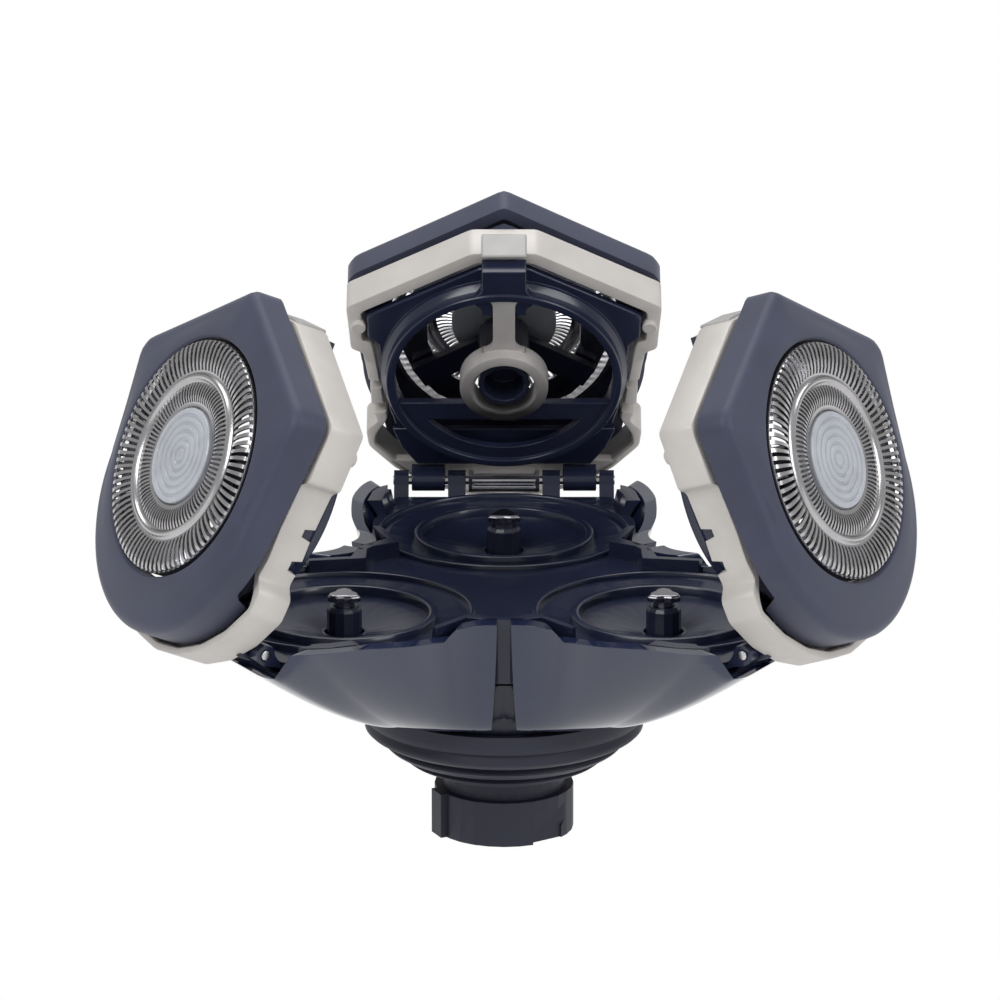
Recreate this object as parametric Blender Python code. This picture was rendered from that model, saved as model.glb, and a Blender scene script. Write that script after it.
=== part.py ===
# Shaving unit of a rotary shaver: three flip-up cutter holders on a base that tilts on a coupling stem.
# The stem's end face is at z = 0 and the stem rises along +Z. The rear holder hinges at +Y.
# All sizes are in metres. A holder's own axes are X from its hinge to its tip and Z out of its face.
import bpy
import bmesh
from math import acos, asin, atan2, cos, hypot, pi, radians, sin, sqrt, tan
from mathutils import Matrix, Vector

# Lobes: azimuth, opening angle of the holder at rest, and tilt of its face
LOBES = (
    ("rear", radians(90), radians(62), radians(4)),
    ("left", radians(210), radians(66), 0.0),
    ("right", radians(330), radians(70), 0.0),
)
SECTOR = radians(60)
MILLIMETRE = 0.001
GAP = 0.0003
RUN = 0.0001

# Heights above the stem's end face, each worked up from the one below
STEM_CAVITY_HEIGHT = 0.0030
STEM_CEILING = 0.0015
STEM_NECK_LENGTH = 0.0033
GIMBAL_RISE = 0.0040
NECK_RISE = 0.0002
FOOT_RISE = 0.0021
SEAM_FOOT_RISE = 0.0007
CASE_DEPTH = 0.0055
GEAR_FLOOR = 0.0006
GEAR_THICKNESS = 0.0016
GEAR_HEADROOM = 0.00035
DISH_SHEET = 0.00095
DISH_DEPTH = 0.0017
RIM_RISE = 0.0017
SIDE_RIM_RISE = 0.0001
REAR_RIM_DROP = 0.0008
HINGE_RISE = 0.00125
SPINDLE_DROP = 0.00035
SPINDLE_TIP_RISE = 0.0013
STEM_SHOULDER = STEM_CAVITY_HEIGHT + STEM_CEILING
STEM_NECK_HEIGHT = STEM_SHOULDER + STEM_NECK_LENGTH
GIMBAL_HEIGHT = STEM_NECK_HEIGHT + GIMBAL_RISE
NECK_LOW = GIMBAL_HEIGHT + NECK_RISE
FOOT_HEIGHT = GIMBAL_HEIGHT + FOOT_RISE
SPLIT_HEIGHT = FOOT_HEIGHT + CASE_DEPTH
GEAR_LOW = SPLIT_HEIGHT + GEAR_FLOOR
GEAR_HIGH = GEAR_LOW + GEAR_THICKNESS
CHAMBER_TOP = GEAR_HIGH + GEAR_HEADROOM
DISH_HEIGHT = CHAMBER_TOP + DISH_SHEET
FLOOR_HEIGHT = DISH_HEIGHT + DISH_DEPTH
RIM_HEIGHT = FLOOR_HEIGHT + RIM_RISE
SIDE_RIM_HEIGHT = FLOOR_HEIGHT + SIDE_RIM_RISE
REAR_RIM_HEIGHT = FLOOR_HEIGHT - REAR_RIM_DROP
HINGE_HEIGHT = FLOOR_HEIGHT + HINGE_RISE
SPINDLE_LOW = GEAR_HIGH + 0.0002
SPINDLE_HIGH = HINGE_HEIGHT - SPINDLE_DROP
SPINDLE_TIP_TOP = SPINDLE_HIGH + SPINDLE_TIP_RISE

# Plan of the head: a lobe's spindle stands on its middle line, and its hinge lies further out
SPINDLE_RADIUS = 0.01785
FACE_CENTRE = 0.01465
HINGE_RADIUS = SPINDLE_RADIUS + FACE_CENTRE
SEAM_RADIUS = SPINDLE_RADIUS - 0.00005
LOBE_OUTLINE = (
    (HINGE_RADIUS + 0.0005, 0.0), (HINGE_RADIUS + 0.0005, 0.0114), (HINGE_RADIUS - 0.0012, 0.0134),
    (HINGE_RADIUS - 0.0030, 0.0144), (SPINDLE_RADIUS + 0.00815, 0.0152),
    (SPINDLE_RADIUS + 0.00415, 0.0155), (SPINDLE_RADIUS + 0.00065, 0.0154),
    (SPINDLE_RADIUS - 0.00225, 0.0146), (SPINDLE_RADIUS - 0.00555, 0.0134),
)
NECK_OUT = 0.0128
NECK_IN = 0.0117
BOWL_FOOT = (NECK_OUT + 0.0037, FOOT_HEIGHT)
BOWL_FOOT_SEAM = (NECK_OUT + 0.0015, FOOT_HEIGHT + SEAM_FOOT_RISE)
CROWN_START = radians(21)
CROWN_END = radians(26)
BOWL_POWER = 0.8
BOWL_POWER_SEAM = 0.6
PANEL_WALL = 0.0012
TRAY_WALL = 0.0008
SEAM_ANGLE = radians(2.2)
LEAST_FACING = 0.5
DISH_RADIUS = 0.0116
DISH_EYE_RADIUS = 0.0022
SIDE_CUT_BACK = 0.00285
SIDE_CUT_FRONT = 0.00595
SIDE_CUT_PLACE = 0.0105
SIDE_CUT_REACH = 0.0190

# Gears and spindles
CENTRE_TEETH = 30
PINION_TEETH = 12
GEAR_MODULE = 2 * SPINDLE_RADIUS / (CENTRE_TEETH + PINION_TEETH)
TOOTH_TIP = 0.85
TOOTH_ROOT = 1.15
GEAR_SIDE_ROOM = 0.0005
CENTRE_CHAMBER_RADIUS = GEAR_MODULE * (CENTRE_TEETH / 2 + TOOTH_TIP) + GEAR_SIDE_ROOM
PINION_CHAMBER_RADIUS = GEAR_MODULE * (PINION_TEETH / 2 + TOOTH_TIP) + GEAR_SIDE_ROOM
SCREW_PLACE = CENTRE_CHAMBER_RADIUS + 0.0013
SCREW_RADIUS = 0.0006
SCREW_HEAD_RADIUS = 0.0009
SCREW_HEAD_HEIGHT = 0.0008
SCREW_GRIP = 0.0018
SCREW_BITE = 0.0018
SOCKET_RADIUS = 0.0025
SOCKET_WALL = 0.0009
SPINDLE_OUTER = 0.0017
SPINDLE_BORE = 0.0012
SPINDLE_TIP_RADIUS = 0.00185
SPRING_WIRE = 0.00013
SPRING_TURNS = 3
POST_RADIUS = 0.00055
POST_REACH = 0.0010

# Stem, gimbal and bellows
STEM_RADIUS = 0.00685
STEM_NECK_RADIUS = 0.0060
STEM_CAVITY_RADIUS = 0.0055
STEM_BORE = 0.0025
SHAFT_RADIUS = 0.0024
SHAFT_NECK = 0.0014
LUG_WIDTH = 0.0034
STEM_LUG_OUT = 0.0066
STEM_LUG_IN = 0.0053
GIMBAL_IN = 0.0073
GIMBAL_OUT = 0.0087
GIMBAL_HALF = 0.0010
TRUNNION_RADIUS = 0.00075
HEAD_LUG_IN = 0.0093
HEAD_LUG_OUT = 0.0109
BELLOWS_WALL = 0.0008
BELLOWS_LOW = STEM_SHOULDER + 0.0005
BELLOWS_HIGH = FOOT_HEIGHT - GAP
# Ribs of the bellows: radius, and height as a share of its length
BELLOWS_RIBS = (
    (0.0139, 1.0), (0.0139, 0.826), (0.0133, 0.791), (0.0136, 0.674), (0.0127, 0.547), (0.0114, 0.512),
    (0.0119, 0.442), (0.0108, 0.302), (0.0097, 0.279), (0.0101, 0.198), (0.0092, 0.116),
    (0.0070, 0.093), (0.0070, 0.0),
)

# Hinge
PIN_RADIUS = 0.0005
PIN_HALF = 0.0113
KNUCKLE_RADIUS = 0.00105
BARREL_RADIUS = 0.0011
ARM_LENGTH = 0.0040
KNUCKLES = ((0.0039, 0.0057), (0.0097, 0.0112))
BARREL = (0.0060, 0.0094)
CLIP_HALF = 0.0036
CLIP_BAR = 0.0004
CLIP_HEIGHT = 0.0009

# Holder, in its own axes. Its outlines are drawn about the cap's centre.
FRAME_LOW = 0.00122
FRAME_HIGH = 0.00491
FRAME_ROUND_CENTRE = FACE_CENTRE - 0.00205
FRAME_ROUND_RADIUS = 0.0164
FRAME_END_WALL = 0.0008
FRAME_FLOOR = 0.0009
FRAME_FLOOR_EDGE = 0.0016
FRAME_OUTER = (
    (0.01565, 0.00325), (0.00835, 0.0158), (0.00435, 0.0155), (0.00255, 0.0154), (0.00215, 0.0142),
    (-0.00265, 0.0135), (-0.00565, 0.0134), (-0.00755, 0.0128), (-0.00875, 0.0140),
)
FRAME_INNER = (
    (0.01425, 0.0027), (0.00755, 0.0143), (0.00375, 0.0142), (0.00355, 0.0132), (0.00085, 0.01285),
    (-0.00265, 0.01235), (-0.00565, 0.0120), (-0.00705, 0.0117), (-0.00925, 0.0129),
)
FRAME_ARC_HALF = radians(57)
STUD_PLACE = (0.00585, 0.0146)
STUD_RADIUS = 0.00075
STUD_LENGTH = 0.0005
NOTCH_PLACES = (-0.00615, -0.00285)
NOTCH_WIDTH = 0.0012
NOTCH_DEPTH = 0.0011
SKIN_BACK = 0.0054
SKIN_EDGE = 0.0083
SKIN_CROWN = 0.0095
SKIN_WALL = 0.0014
SKIN_OUTLINE = (
    (0.01725, 0.0), (0.01635, 0.0016), (0.00875, 0.0151), (0.00755, 0.0158), (0.00215, 0.0150),
    (-0.00215, 0.0149),
)
SKIN_ROUND_CENTRE = FACE_CENTRE - 0.00205
SKIN_ROUND_RADIUS = 0.0149
TILT_AXIS = (FACE_CENTRE + 0.00135, 0.0030)
TILT_RANGE = radians(4)
TILT_PIN_RADIUS = 0.0005
EAR_IN = 0.0121
EAR_THICKNESS = 0.0005
EAR_WIDTH = 0.0024
CAP_RADIUS = 0.0115
CAP_FLANGE = 0.0119
CAP_LOW = 0.0064
CAP_SHEET = 0.00045
CAP_SLOTS = 12
CAP_RINGS = (
    (0.0115, 0.0093, False), (0.0109, 0.00995, True), (0.0092, 0.00995, False), (0.0087, 0.0096, True),
    (0.0075, 0.0096, False), (0.0070, 0.00995, True), (0.0056, 0.00995, False), (0.0049, 0.0097, False),
)
SLOT_SHARE = 0.5
DISC_RADIUS = 0.0047
DISC_TOP = 0.0099
HUB_RADIUS = 0.0026
HUB_SOCKET = 0.0021
HUB_LOW = -0.0015
HUB_HIGH = 0.0066
ARM_LOW = 0.0056
ARM_HIGH = 0.0065
ARM_REACH = 0.0100
ARM_WIDTH = 0.0026
BLADE_OUT = 0.0106
BLADE_IN = 0.0078
BLADE_RING = 0.0005
BLADE_TOP = 0.0089
BLADE_COUNT = 9
RETAINER_OUTLINE = (
    (0.01385, 0.0023), (0.00725, 0.0138), (0.00415, 0.0137), (0.00395, 0.0127), (0.00085, 0.01245),
    (-0.00265, 0.01195), (-0.00565, 0.0116), (-0.00685, 0.0112), (-0.00825, 0.0110),
)
RETAINER_RING_OUT = 0.0119
RETAINER_RING_IN = 0.0110
RETAINER_STEP = 0.0124
RETAINER_LOW = -0.0009
RETAINER_WEB = (-0.0005, 0.0003)
RETAINER_PLATE = (0.0010, 0.0018)
RETAINER_HUB_OUT = 0.00445
RETAINER_HUB_IN = 0.00315
RETAINER_HUB_LOW = -0.0020
WING_LOW_EDGE = -0.0056
WING_HIGH_EDGE = -0.0033
LENS_RADIUS = 0.0095
SPOKE_WIDTH = 0.0022
LATCH_HALF = 0.00225
LATCH_SHEET = 0.0006

# Colour, roughness and metallic value of each material
FINISHES = {
    "soft_touch": ((0.030, 0.035, 0.062), 0.62, 0.0),
    "gloss_black": ((0.012, 0.014, 0.026), 0.12, 0.0),
    "black_plastic": ((0.022, 0.027, 0.050), 0.38, 0.0),
    "rubber": ((0.018, 0.020, 0.032), 0.75, 0.0),
    "champagne": ((0.60, 0.56, 0.51), 0.32, 0.75),
    "steel": ((0.62, 0.62, 0.64), 0.22, 1.0),
    "grey_plastic": ((0.42, 0.45, 0.50), 0.35, 0.2),
    "gear_plastic": ((0.62, 0.60, 0.54), 0.5, 0.0),
}


def material(name):
    """Return the named material, made on first use."""
    found = bpy.data.materials.get(name)
    if found:
        return found
    made = bpy.data.materials.new(name)
    made.use_nodes = True
    color, roughness, metallic = FINISHES[name]
    shader = made.node_tree.nodes["Principled BSDF"]
    shader.inputs["Base Color"].default_value = (*color, 1.0)
    shader.inputs["Roughness"].default_value = roughness
    shader.inputs["Metallic"].default_value = metallic
    made.diffuse_color = (*color, 1.0)
    return made


def face_outward(bm):
    """Turn the faces of each closed solid in the bmesh outward."""
    bmesh.ops.recalc_face_normals(bm, faces=bm.faces)
    waiting = set(bm.faces)
    while waiting:
        solid = {waiting.pop()}
        edge_of_search = list(solid)
        while edge_of_search:
            face = edge_of_search.pop()
            for edge in face.edges:
                for other in edge.link_faces:
                    if other in waiting:
                        waiting.remove(other)
                        solid.add(other)
                        edge_of_search.append(other)
        volume = 0.0
        for face in solid:
            first = face.verts[0].co
            for second, third in zip(face.verts[1:], face.verts[2:]):
                volume += first.dot(second.co.cross(third.co))
        if volume < 0:
            bmesh.ops.reverse_faces(bm, faces=list(solid))


def is_flat(face):
    """Tell whether a four-sided face is flat."""
    first, second, third, fourth = (vertex.co for vertex in face.verts)
    return abs((second - first).cross(third - first).dot(fourth - first)) < 1e-5


def make_object(name, bm, parent=None, finish=None, smooth=None):
    """Turn a bmesh into an object, with outward faces and its mesh kept in millimetres."""
    bm.transform(Matrix.Scale(1 / MILLIMETRE, 4))
    bent = [face for face in bm.faces if len(face.verts) == 4 and not is_flat(face)]
    bmesh.ops.triangulate(bm, faces=bent)
    face_outward(bm)
    mesh = bpy.data.meshes.new(name)
    bm.to_mesh(mesh)
    bm.free()
    if smooth:
        mesh.shade_smooth()
        mesh.set_sharp_from_angle(angle=smooth)
    made = bpy.data.objects.new(name, mesh)
    bpy.context.collection.objects.link(made)
    made.parent = parent
    made.scale = (MILLIMETRE, MILLIMETRE, MILLIMETRE)
    if finish:
        mesh.materials.append(material(finish))
    return made


def combine(target, bm, operation):
    """Join a solid to the target, or cut it away. Solids that follow each other share a Boolean."""
    if not target.modifiers or target.modifiers[-1].operation != operation:
        modifier = target.modifiers.new(operation.title(), "BOOLEAN")
        modifier.operation = operation
        modifier.solver = "EXACT"
        modifier.operand_type = "COLLECTION"
        modifier.collection = bpy.data.collections.new(f"{target.name}_{len(target.modifiers)}_tools")
    tools = target.modifiers[-1].collection
    tool = make_object(f"{tools.name}_{len(tools.objects)}", bm, target.parent)
    tool.hide_render = True
    tool.display_type = "WIRE"
    tools.objects.link(tool)


def empty(name, matrix, parent=None):
    """Add an empty that carries the pieces of one moving group."""
    made = bpy.data.objects.new(name, None)
    bpy.context.collection.objects.link(made)
    made.empty_display_size = 0.004
    made.parent = parent
    made.matrix_local = matrix
    return made


def loft(bm, loops, ring=False):
    """Skin loops of equal length, capped at both ends or closed into a ring."""
    rows = [[bm.verts.new(point) for point in loop] for loop in loops]
    pairs = list(zip(rows, rows[1:]))
    if ring:
        pairs.append((rows[-1], rows[0]))
    else:
        bm.faces.new(rows[0])
        bm.faces.new(rows[-1])
    for low, high in pairs:
        for here in range(len(low)):
            after = (here + 1) % len(low)
            bm.faces.new((low[here], low[after], high[after], high[here]))


def prism(bm, outline, low, high):
    """Extrude a flat outline between two heights."""
    face = bm.faces.new([bm.verts.new((x, y, low)) for x, y in outline])
    grown = bmesh.ops.extrude_face_region(bm, geom=[face])
    tops = [item for item in grown["geom"] if isinstance(item, bmesh.types.BMVert)]
    bmesh.ops.translate(bm, vec=(0, 0, high - low), verts=tops)


def ring_prism(bm, outer, inner, low, high):
    """Extrude the wall between two outlines that have the same number of points."""
    loops = ((outer, low), (outer, high), (inner, high), (inner, low))
    loft(bm, [[(x, y, height) for x, y in outline] for outline, height in loops], ring=True)


def arc(radius, start, end, count, centre=(0.0, 0.0)):
    """Points on a circle from one angle to another, both included."""
    angles = [start + (end - start) * step / count for step in range(count + 1)]
    return [(centre[0] + radius * cos(a), centre[1] + radius * sin(a)) for a in angles]


def circle(radius, count, centre=(0.0, 0.0)):
    """Points all round a circle."""
    return arc(radius, 0, 2 * pi, count, centre)[:-1]


def drum(bm, radius, low, high, count=24, centre=(0.0, 0.0)):
    """Add a round bar along Z."""
    prism(bm, circle(radius, count, centre), low, high)


def lathe(bm, profile, count=32, centre=(0.0, 0.0)):
    """Spin a closed profile of (radius, height) points, clear of its axis, about Z."""
    directions = circle(1.0, count)
    loops = []
    for radius, height in profile:
        loops.append([(centre[0] + radius * x, centre[1] + radius * y, height) for x, y in directions])
    loft(bm, loops, ring=True)


def turned(bm, profile, count=24):
    """Spin an open profile with flat ends, from its lowest to its highest point, about Z."""
    directions = circle(1.0, count)
    loft(bm, [[(radius * x, radius * y, height) for x, y in directions] for radius, height in profile])


def bar_along_y(bm, outline, start, end):
    """Extrude an outline of (x, z) points along Y."""
    loft(bm, [[(x, start, z) for x, z in outline], [(x, end, z) for x, z in outline]])


def box(bm, low, high):
    """Add a block between two corners."""
    outline = ((low[0], low[1]), (high[0], low[1]), (high[0], high[1]), (low[0], high[1]))
    prism(bm, outline, low[2], high[2])


def lobe_matrix(azimuth):
    """Turn a lobe's own axes, X outward from the stem's axis, to its azimuth."""
    return Matrix.Rotation(azimuth, 4, "Z")


# The bowl is the outer shape of the three panels. Its plan is the lobe outline, and its wall
# curves in from the rim to a foot above the bellows.

def rim_radius(angle):
    """Distance of the rim from the stem's axis, at an angle from the lobe's middle."""
    seam = (SEAM_RADIUS * cos(SECTOR), SEAM_RADIUS * sin(SECTOR))
    points = [*LOBE_OUTLINE, seam]
    side = min(abs(angle), SECTOR)
    for (x0, y0), (x1, y1) in zip(points, points[1:]):
        if atan2(y1, x1) >= side - 1e-9:
            break
    along = x0 * sin(side) - y0 * cos(side)
    across = (y1 - y0) * cos(side) - (x1 - x0) * sin(side)
    share = along / across
    return (x0 + share * (x1 - x0)) * cos(side) + (y0 + share * (y1 - y0)) * sin(side)


RIM_STEPS = (
    (radians(21), REAR_RIM_HEIGHT), (radians(23.5), RIM_HEIGHT), (radians(30.5), RIM_HEIGHT),
    (radians(32.5), SIDE_RIM_HEIGHT), (radians(43.5), SIDE_RIM_HEIGHT), (radians(47), RIM_HEIGHT),
)
BOWL_ANGLES = tuple(radians(a) for a in (0, 9.5, 19, 21, 23.5, 26, 30.5, 32.5, 38.5, 43.5, 47))


def rim_height(angle):
    """Height of the panel's upper edge, low behind the hinge and at the side cut-outs."""
    side = abs(angle)
    if side <= RIM_STEPS[0][0]:
        return RIM_STEPS[0][1]
    for (a0, z0), (a1, z1) in zip(RIM_STEPS, RIM_STEPS[1:]):
        if side <= a1:
            return z0 + (z1 - z0) * (side - a0) / (a1 - a0)
    return RIM_STEPS[-1][1]


def crown_height(angle):
    """Height at which the bowl reaches its full plan: low behind the hinge, then level with the rim."""
    share = min(max((abs(angle) - CROWN_START) / (CROWN_END - CROWN_START), 0.0), 1.0)
    return REAR_RIM_HEIGHT + (RIM_HEIGHT - REAR_RIM_HEIGHT) * share * share * (3 - 2 * share)


def bowl_surface(angle, height):
    """Point of the bowl at an angle from the lobe's middle, straight up above its crown."""
    share = min(abs(angle) / SECTOR, 1.0)
    foot_radius = BOWL_FOOT[0] + (BOWL_FOOT_SEAM[0] - BOWL_FOOT[0]) * share
    foot = foot_height(angle)
    power = BOWL_POWER + (BOWL_POWER_SEAM - BOWL_POWER) * share
    rise = min(max((height - foot) / (crown_height(angle) - foot), 0.0), 1.0)
    radius = foot_radius + (rim_radius(angle) - foot_radius) * rise ** power
    return Vector((radius * cos(angle), radius * sin(angle), height))


def foot_height(angle):
    """Height of the panel's lower edge."""
    return BOWL_FOOT[1] + (BOWL_FOOT_SEAM[1] - BOWL_FOOT[1]) * min(abs(angle) / SECTOR, 1.0)


def bowl_point(angle, height, inset):
    """Point of the bowl moved in towards the stem's axis until the wall is inset thick."""
    turn = radians(1.0)
    rise = 0.0005
    crown = crown_height(angle)
    top = min(height + rise, crown)
    low = max(min(height, crown) - rise, foot_height(angle))
    along = bowl_surface(angle + turn, height) - bowl_surface(angle - turn, height)
    if abs(angle) > SECTOR - turn:
        inner = bowl_surface(angle - turn if angle > 0 else angle + turn, height)
        along = (bowl_surface(angle, height) - inner) * (1 if angle > 0 else -1)
    up = bowl_surface(angle, top) - bowl_surface(angle, low)
    outward = Vector((cos(angle), sin(angle), 0.0))
    facing = max(along.cross(up).normalized().dot(outward), LEAST_FACING)
    return bowl_surface(angle, height) - outward * (inset / facing)


def bowl_loop(height, inset):
    """Closed loop of points all round the head at one height."""
    half = [*BOWL_ANGLES, SECTOR - SEAM_ANGLE, SECTOR]
    loop = []
    for _, azimuth, _, _ in LOBES:
        turn = lobe_matrix(azimuth)
        angles = [-a for a in reversed(half[1:])] + half[:-1]
        loop += [turn @ bowl_point(angle, height, inset) for angle in angles]
    return loop


def clear_of_neck(point):
    """Move a point of the panel's foot out past the neck that carries the bellows."""
    radius = hypot(point.x, point.y)
    least = max(radius, NECK_OUT + 2 * GAP)
    return Vector((point.x * least / radius, point.y * least / radius, point.z))


def outer_panel(name, azimuth):
    """Glossy shell over one lobe, from seam to seam."""
    end = SECTOR - SEAM_ANGLE
    half = [*BOWL_ANGLES, end]
    angles = [-a for a in reversed(half[1:])] + half
    shares = (0.0, 0.15, 0.45, 0.75, 1.0)
    columns = []
    for angle in angles:
        foot = foot_height(angle)
        heights = [foot + (rim_height(angle) - foot) * share for share in shares]
        outside = [bowl_point(angle, height, 0.0) for height in heights]
        inside = [clear_of_neck(bowl_point(angle, height, PANEL_WALL)) for height in reversed(heights)]
        columns.append(outside + inside)
    bm = bmesh.new()
    loft(bm, columns)
    frame = empty(f"{name}_panel_axes", lobe_matrix(azimuth))
    return make_object(f"{name}_outer_panel", bm, frame, "gloss_black", radians(35))


def base_housing():
    """Upper tray: a dish for each cutter, arms for the hinges and the gear chamber below."""
    bm = bmesh.new()
    inset = PANEL_WALL + GAP
    heights = (SPLIT_HEIGHT, REAR_RIM_HEIGHT, RIM_HEIGHT)
    loft(bm, [bowl_loop(height, inset) for height in heights])
    tray = make_object("base_housing", bm, None, "black_plastic", radians(30))
    bm = bmesh.new()
    over = RIM_HEIGHT + 0.002
    loft(bm, [bowl_loop(FLOOR_HEIGHT, inset + TRAY_WALL), bowl_loop(over, inset + TRAY_WALL)])
    combine(tray, bm, "DIFFERENCE")
    bm = bmesh.new()
    drum(bm, CENTRE_CHAMBER_RADIUS, SPLIT_HEIGHT - 0.001, CHAMBER_TOP, 24)
    combine(tray, bm, "DIFFERENCE")
    for _, azimuth, _, _ in LOBES:
        cut_tray_lobe(tray, lobe_matrix(azimuth), over)
    for _, azimuth, _, _ in LOBES:
        bm = bmesh.new()
        for inner, outer in KNUCKLES:
            for start, end in ((inner, outer), (-outer, -inner)):
                bar_along_y(bm, knuckle_arm(), start, end)
        bm.transform(lobe_matrix(azimuth))
        combine(tray, bm, "UNION")
    bm = bmesh.new()
    for _, azimuth, _, _ in LOBES:
        pin = bmesh.new()
        drum(pin, PIN_RADIUS + RUN, -PIN_HALF - GAP, PIN_HALF + GAP, 8)
        pin.transform(lobe_matrix(azimuth) @ Matrix.Translation((HINGE_RADIUS, 0, HINGE_HEIGHT))
                      @ Matrix.Rotation(-pi / 2, 4, "X"))
        add_mesh(bm, pin)
    combine(tray, bm, "DIFFERENCE")
    return tray


def add_mesh(bm, other):
    """Copy another bmesh into this one."""
    carrier = bpy.data.meshes.new("carrier")
    other.to_mesh(carrier)
    other.free()
    bm.from_mesh(carrier)
    bpy.data.meshes.remove(carrier)


def cut_tray_lobe(tray, turn, over):
    """Cut one lobe's dish, spindle hole, gear chamber, rear ledge and side cut-outs."""
    bm = bmesh.new()
    slope = (DISH_RADIUS - DISH_EYE_RADIUS) / (FLOOR_HEIGHT - DISH_HEIGHT)
    above = 0.00013
    profile = ((DISH_EYE_RADIUS, DISH_HEIGHT), (DISH_RADIUS + above * slope, FLOOR_HEIGHT + above))
    turned(bm, profile, 24)
    bm.transform(turn @ Matrix.Translation((SPINDLE_RADIUS, 0, 0)))
    combine(tray, bm, "DIFFERENCE")
    bm = bmesh.new()
    drum(bm, SPINDLE_OUTER + GAP, CHAMBER_TOP - 0.001, DISH_HEIGHT + 0.001, 12)
    bm.transform(turn @ Matrix.Translation((SPINDLE_RADIUS, 0, 0)))
    combine(tray, bm, "DIFFERENCE")
    bm = bmesh.new()
    drum(bm, PINION_CHAMBER_RADIUS, SPLIT_HEIGHT - 0.001, CHAMBER_TOP, 14)
    bm.transform(turn @ Matrix.Translation((SPINDLE_RADIUS, 0, 0)))
    combine(tray, bm, "DIFFERENCE")
    ledge = HINGE_RADIUS - BARREL_RADIUS - 2 * GAP
    for start, low in ((ledge - 0.0030, FLOOR_HEIGHT + 0.00008), (ledge, REAR_RIM_HEIGHT + 0.00015)):
        bm = bmesh.new()
        box(bm, (start, -0.0118, low), (HINGE_RADIUS + 0.004, 0.0118, over))
        bm.transform(turn)
        combine(tray, bm, "DIFFERENCE")
    bm = bmesh.new()
    for side in (-1, 1):
        low, high = sorted((side * SIDE_CUT_PLACE, side * SIDE_CUT_REACH))
        box(bm, (SPINDLE_RADIUS - SIDE_CUT_BACK, low, SIDE_RIM_HEIGHT),
            (SPINDLE_RADIUS + SIDE_CUT_FRONT, high, over))
    bm.transform(turn)
    combine(tray, bm, "DIFFERENCE")


def knuckle_arm():
    """Side view of a hinge arm that reaches over the panel to the hinge axis."""
    under = REAR_RIM_HEIGHT + GAP
    hook = arc(KNUCKLE_RADIUS, radians(-75), radians(190), 5, (HINGE_RADIUS, HINGE_HEIGHT))
    foot = HINGE_RADIUS - ARM_LENGTH
    return [(foot, under - 0.0006), (foot + 0.0003, under - 0.0006), (foot + 0.0014, under),
            *hook, (HINGE_RADIUS - 0.0018, FLOOR_HEIGHT - 0.0002), (foot, FLOOR_HEIGHT - 0.0002)]


def lower_housing():
    """Lower half of the case, with the gear bearings, the gimbal lugs and the bellows neck."""
    inset = PANEL_WALL + 2 * GAP
    top = SPLIT_HEIGHT - GAP
    low = BOWL_FOOT_SEAM[1] + 0.0006
    bm = bmesh.new()
    loft(bm, [bowl_loop(height, inset) for height in (low, top)])
    shell = make_object("lower_housing", bm, None, "black_plastic", radians(30))
    bm = bmesh.new()
    neck = ((NECK_IN, NECK_LOW), (NECK_OUT, NECK_LOW), (NECK_OUT, low + 0.0004), (NECK_IN, low + 0.0004))
    lathe(bm, neck, 24)
    combine(shell, bm, "UNION")
    bm = bmesh.new()
    drum(bm, NECK_IN - 0.0004, low - 0.001, low + 0.0014, 24)
    combine(shell, bm, "DIFFERENCE")
    bm = bmesh.new()
    for side in (-1, 1):
        lug = bmesh.new()
        half = LUG_WIDTH / 2
        outline = [(half, low + 0.002), *arc(half, 0, -pi, 6, (0, GIMBAL_HEIGHT)), (-half, low + 0.002)]
        start, end = sorted((side * HEAD_LUG_IN, side * HEAD_LUG_OUT))
        bar_along_y(lug, outline, start, end)
        add_mesh(bm, lug)
    combine(shell, bm, "UNION")
    bm = bmesh.new()
    drum(bm, SOCKET_RADIUS + SOCKET_WALL + RUN, low - 0.001, top + 0.001, 16)
    combine(shell, bm, "DIFFERENCE")
    bm = bmesh.new()
    cross = bmesh.new()
    drum(cross, TRUNNION_RADIUS + RUN, -HEAD_LUG_OUT - 0.0002, HEAD_LUG_OUT + 0.0002, 12)
    cross.transform(Matrix.Translation((0, 0, GIMBAL_HEIGHT)) @ Matrix.Rotation(pi / 2, 4, "X"))
    add_mesh(bm, cross)
    for _, azimuth, _, _ in LOBES:
        pivot = bmesh.new()
        drum(pivot, 0.0010, top - 0.0012, top + 0.001, 12)
        pivot.transform(lobe_matrix(azimuth) @ Matrix.Translation((SPINDLE_RADIUS, 0, 0)))
        add_mesh(bm, pivot)
    combine(shell, bm, "DIFFERENCE")
    return shell


def gear_outline(teeth, phase):
    """Outline of a spur gear with straight-sided teeth."""
    pitch = GEAR_MODULE * teeth / 2
    root = pitch - TOOTH_ROOT * GEAR_MODULE
    tip = pitch + TOOTH_TIP * GEAR_MODULE
    step = 2 * pi / teeth
    outline = []
    for tooth in range(teeth):
        middle = phase + tooth * step
        for radius, share in ((root, -0.34), (tip, -0.11), (tip, 0.11), (root, 0.34)):
            angle = middle + share * step
            outline.append((radius * cos(angle), radius * sin(angle)))
    return outline


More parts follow.
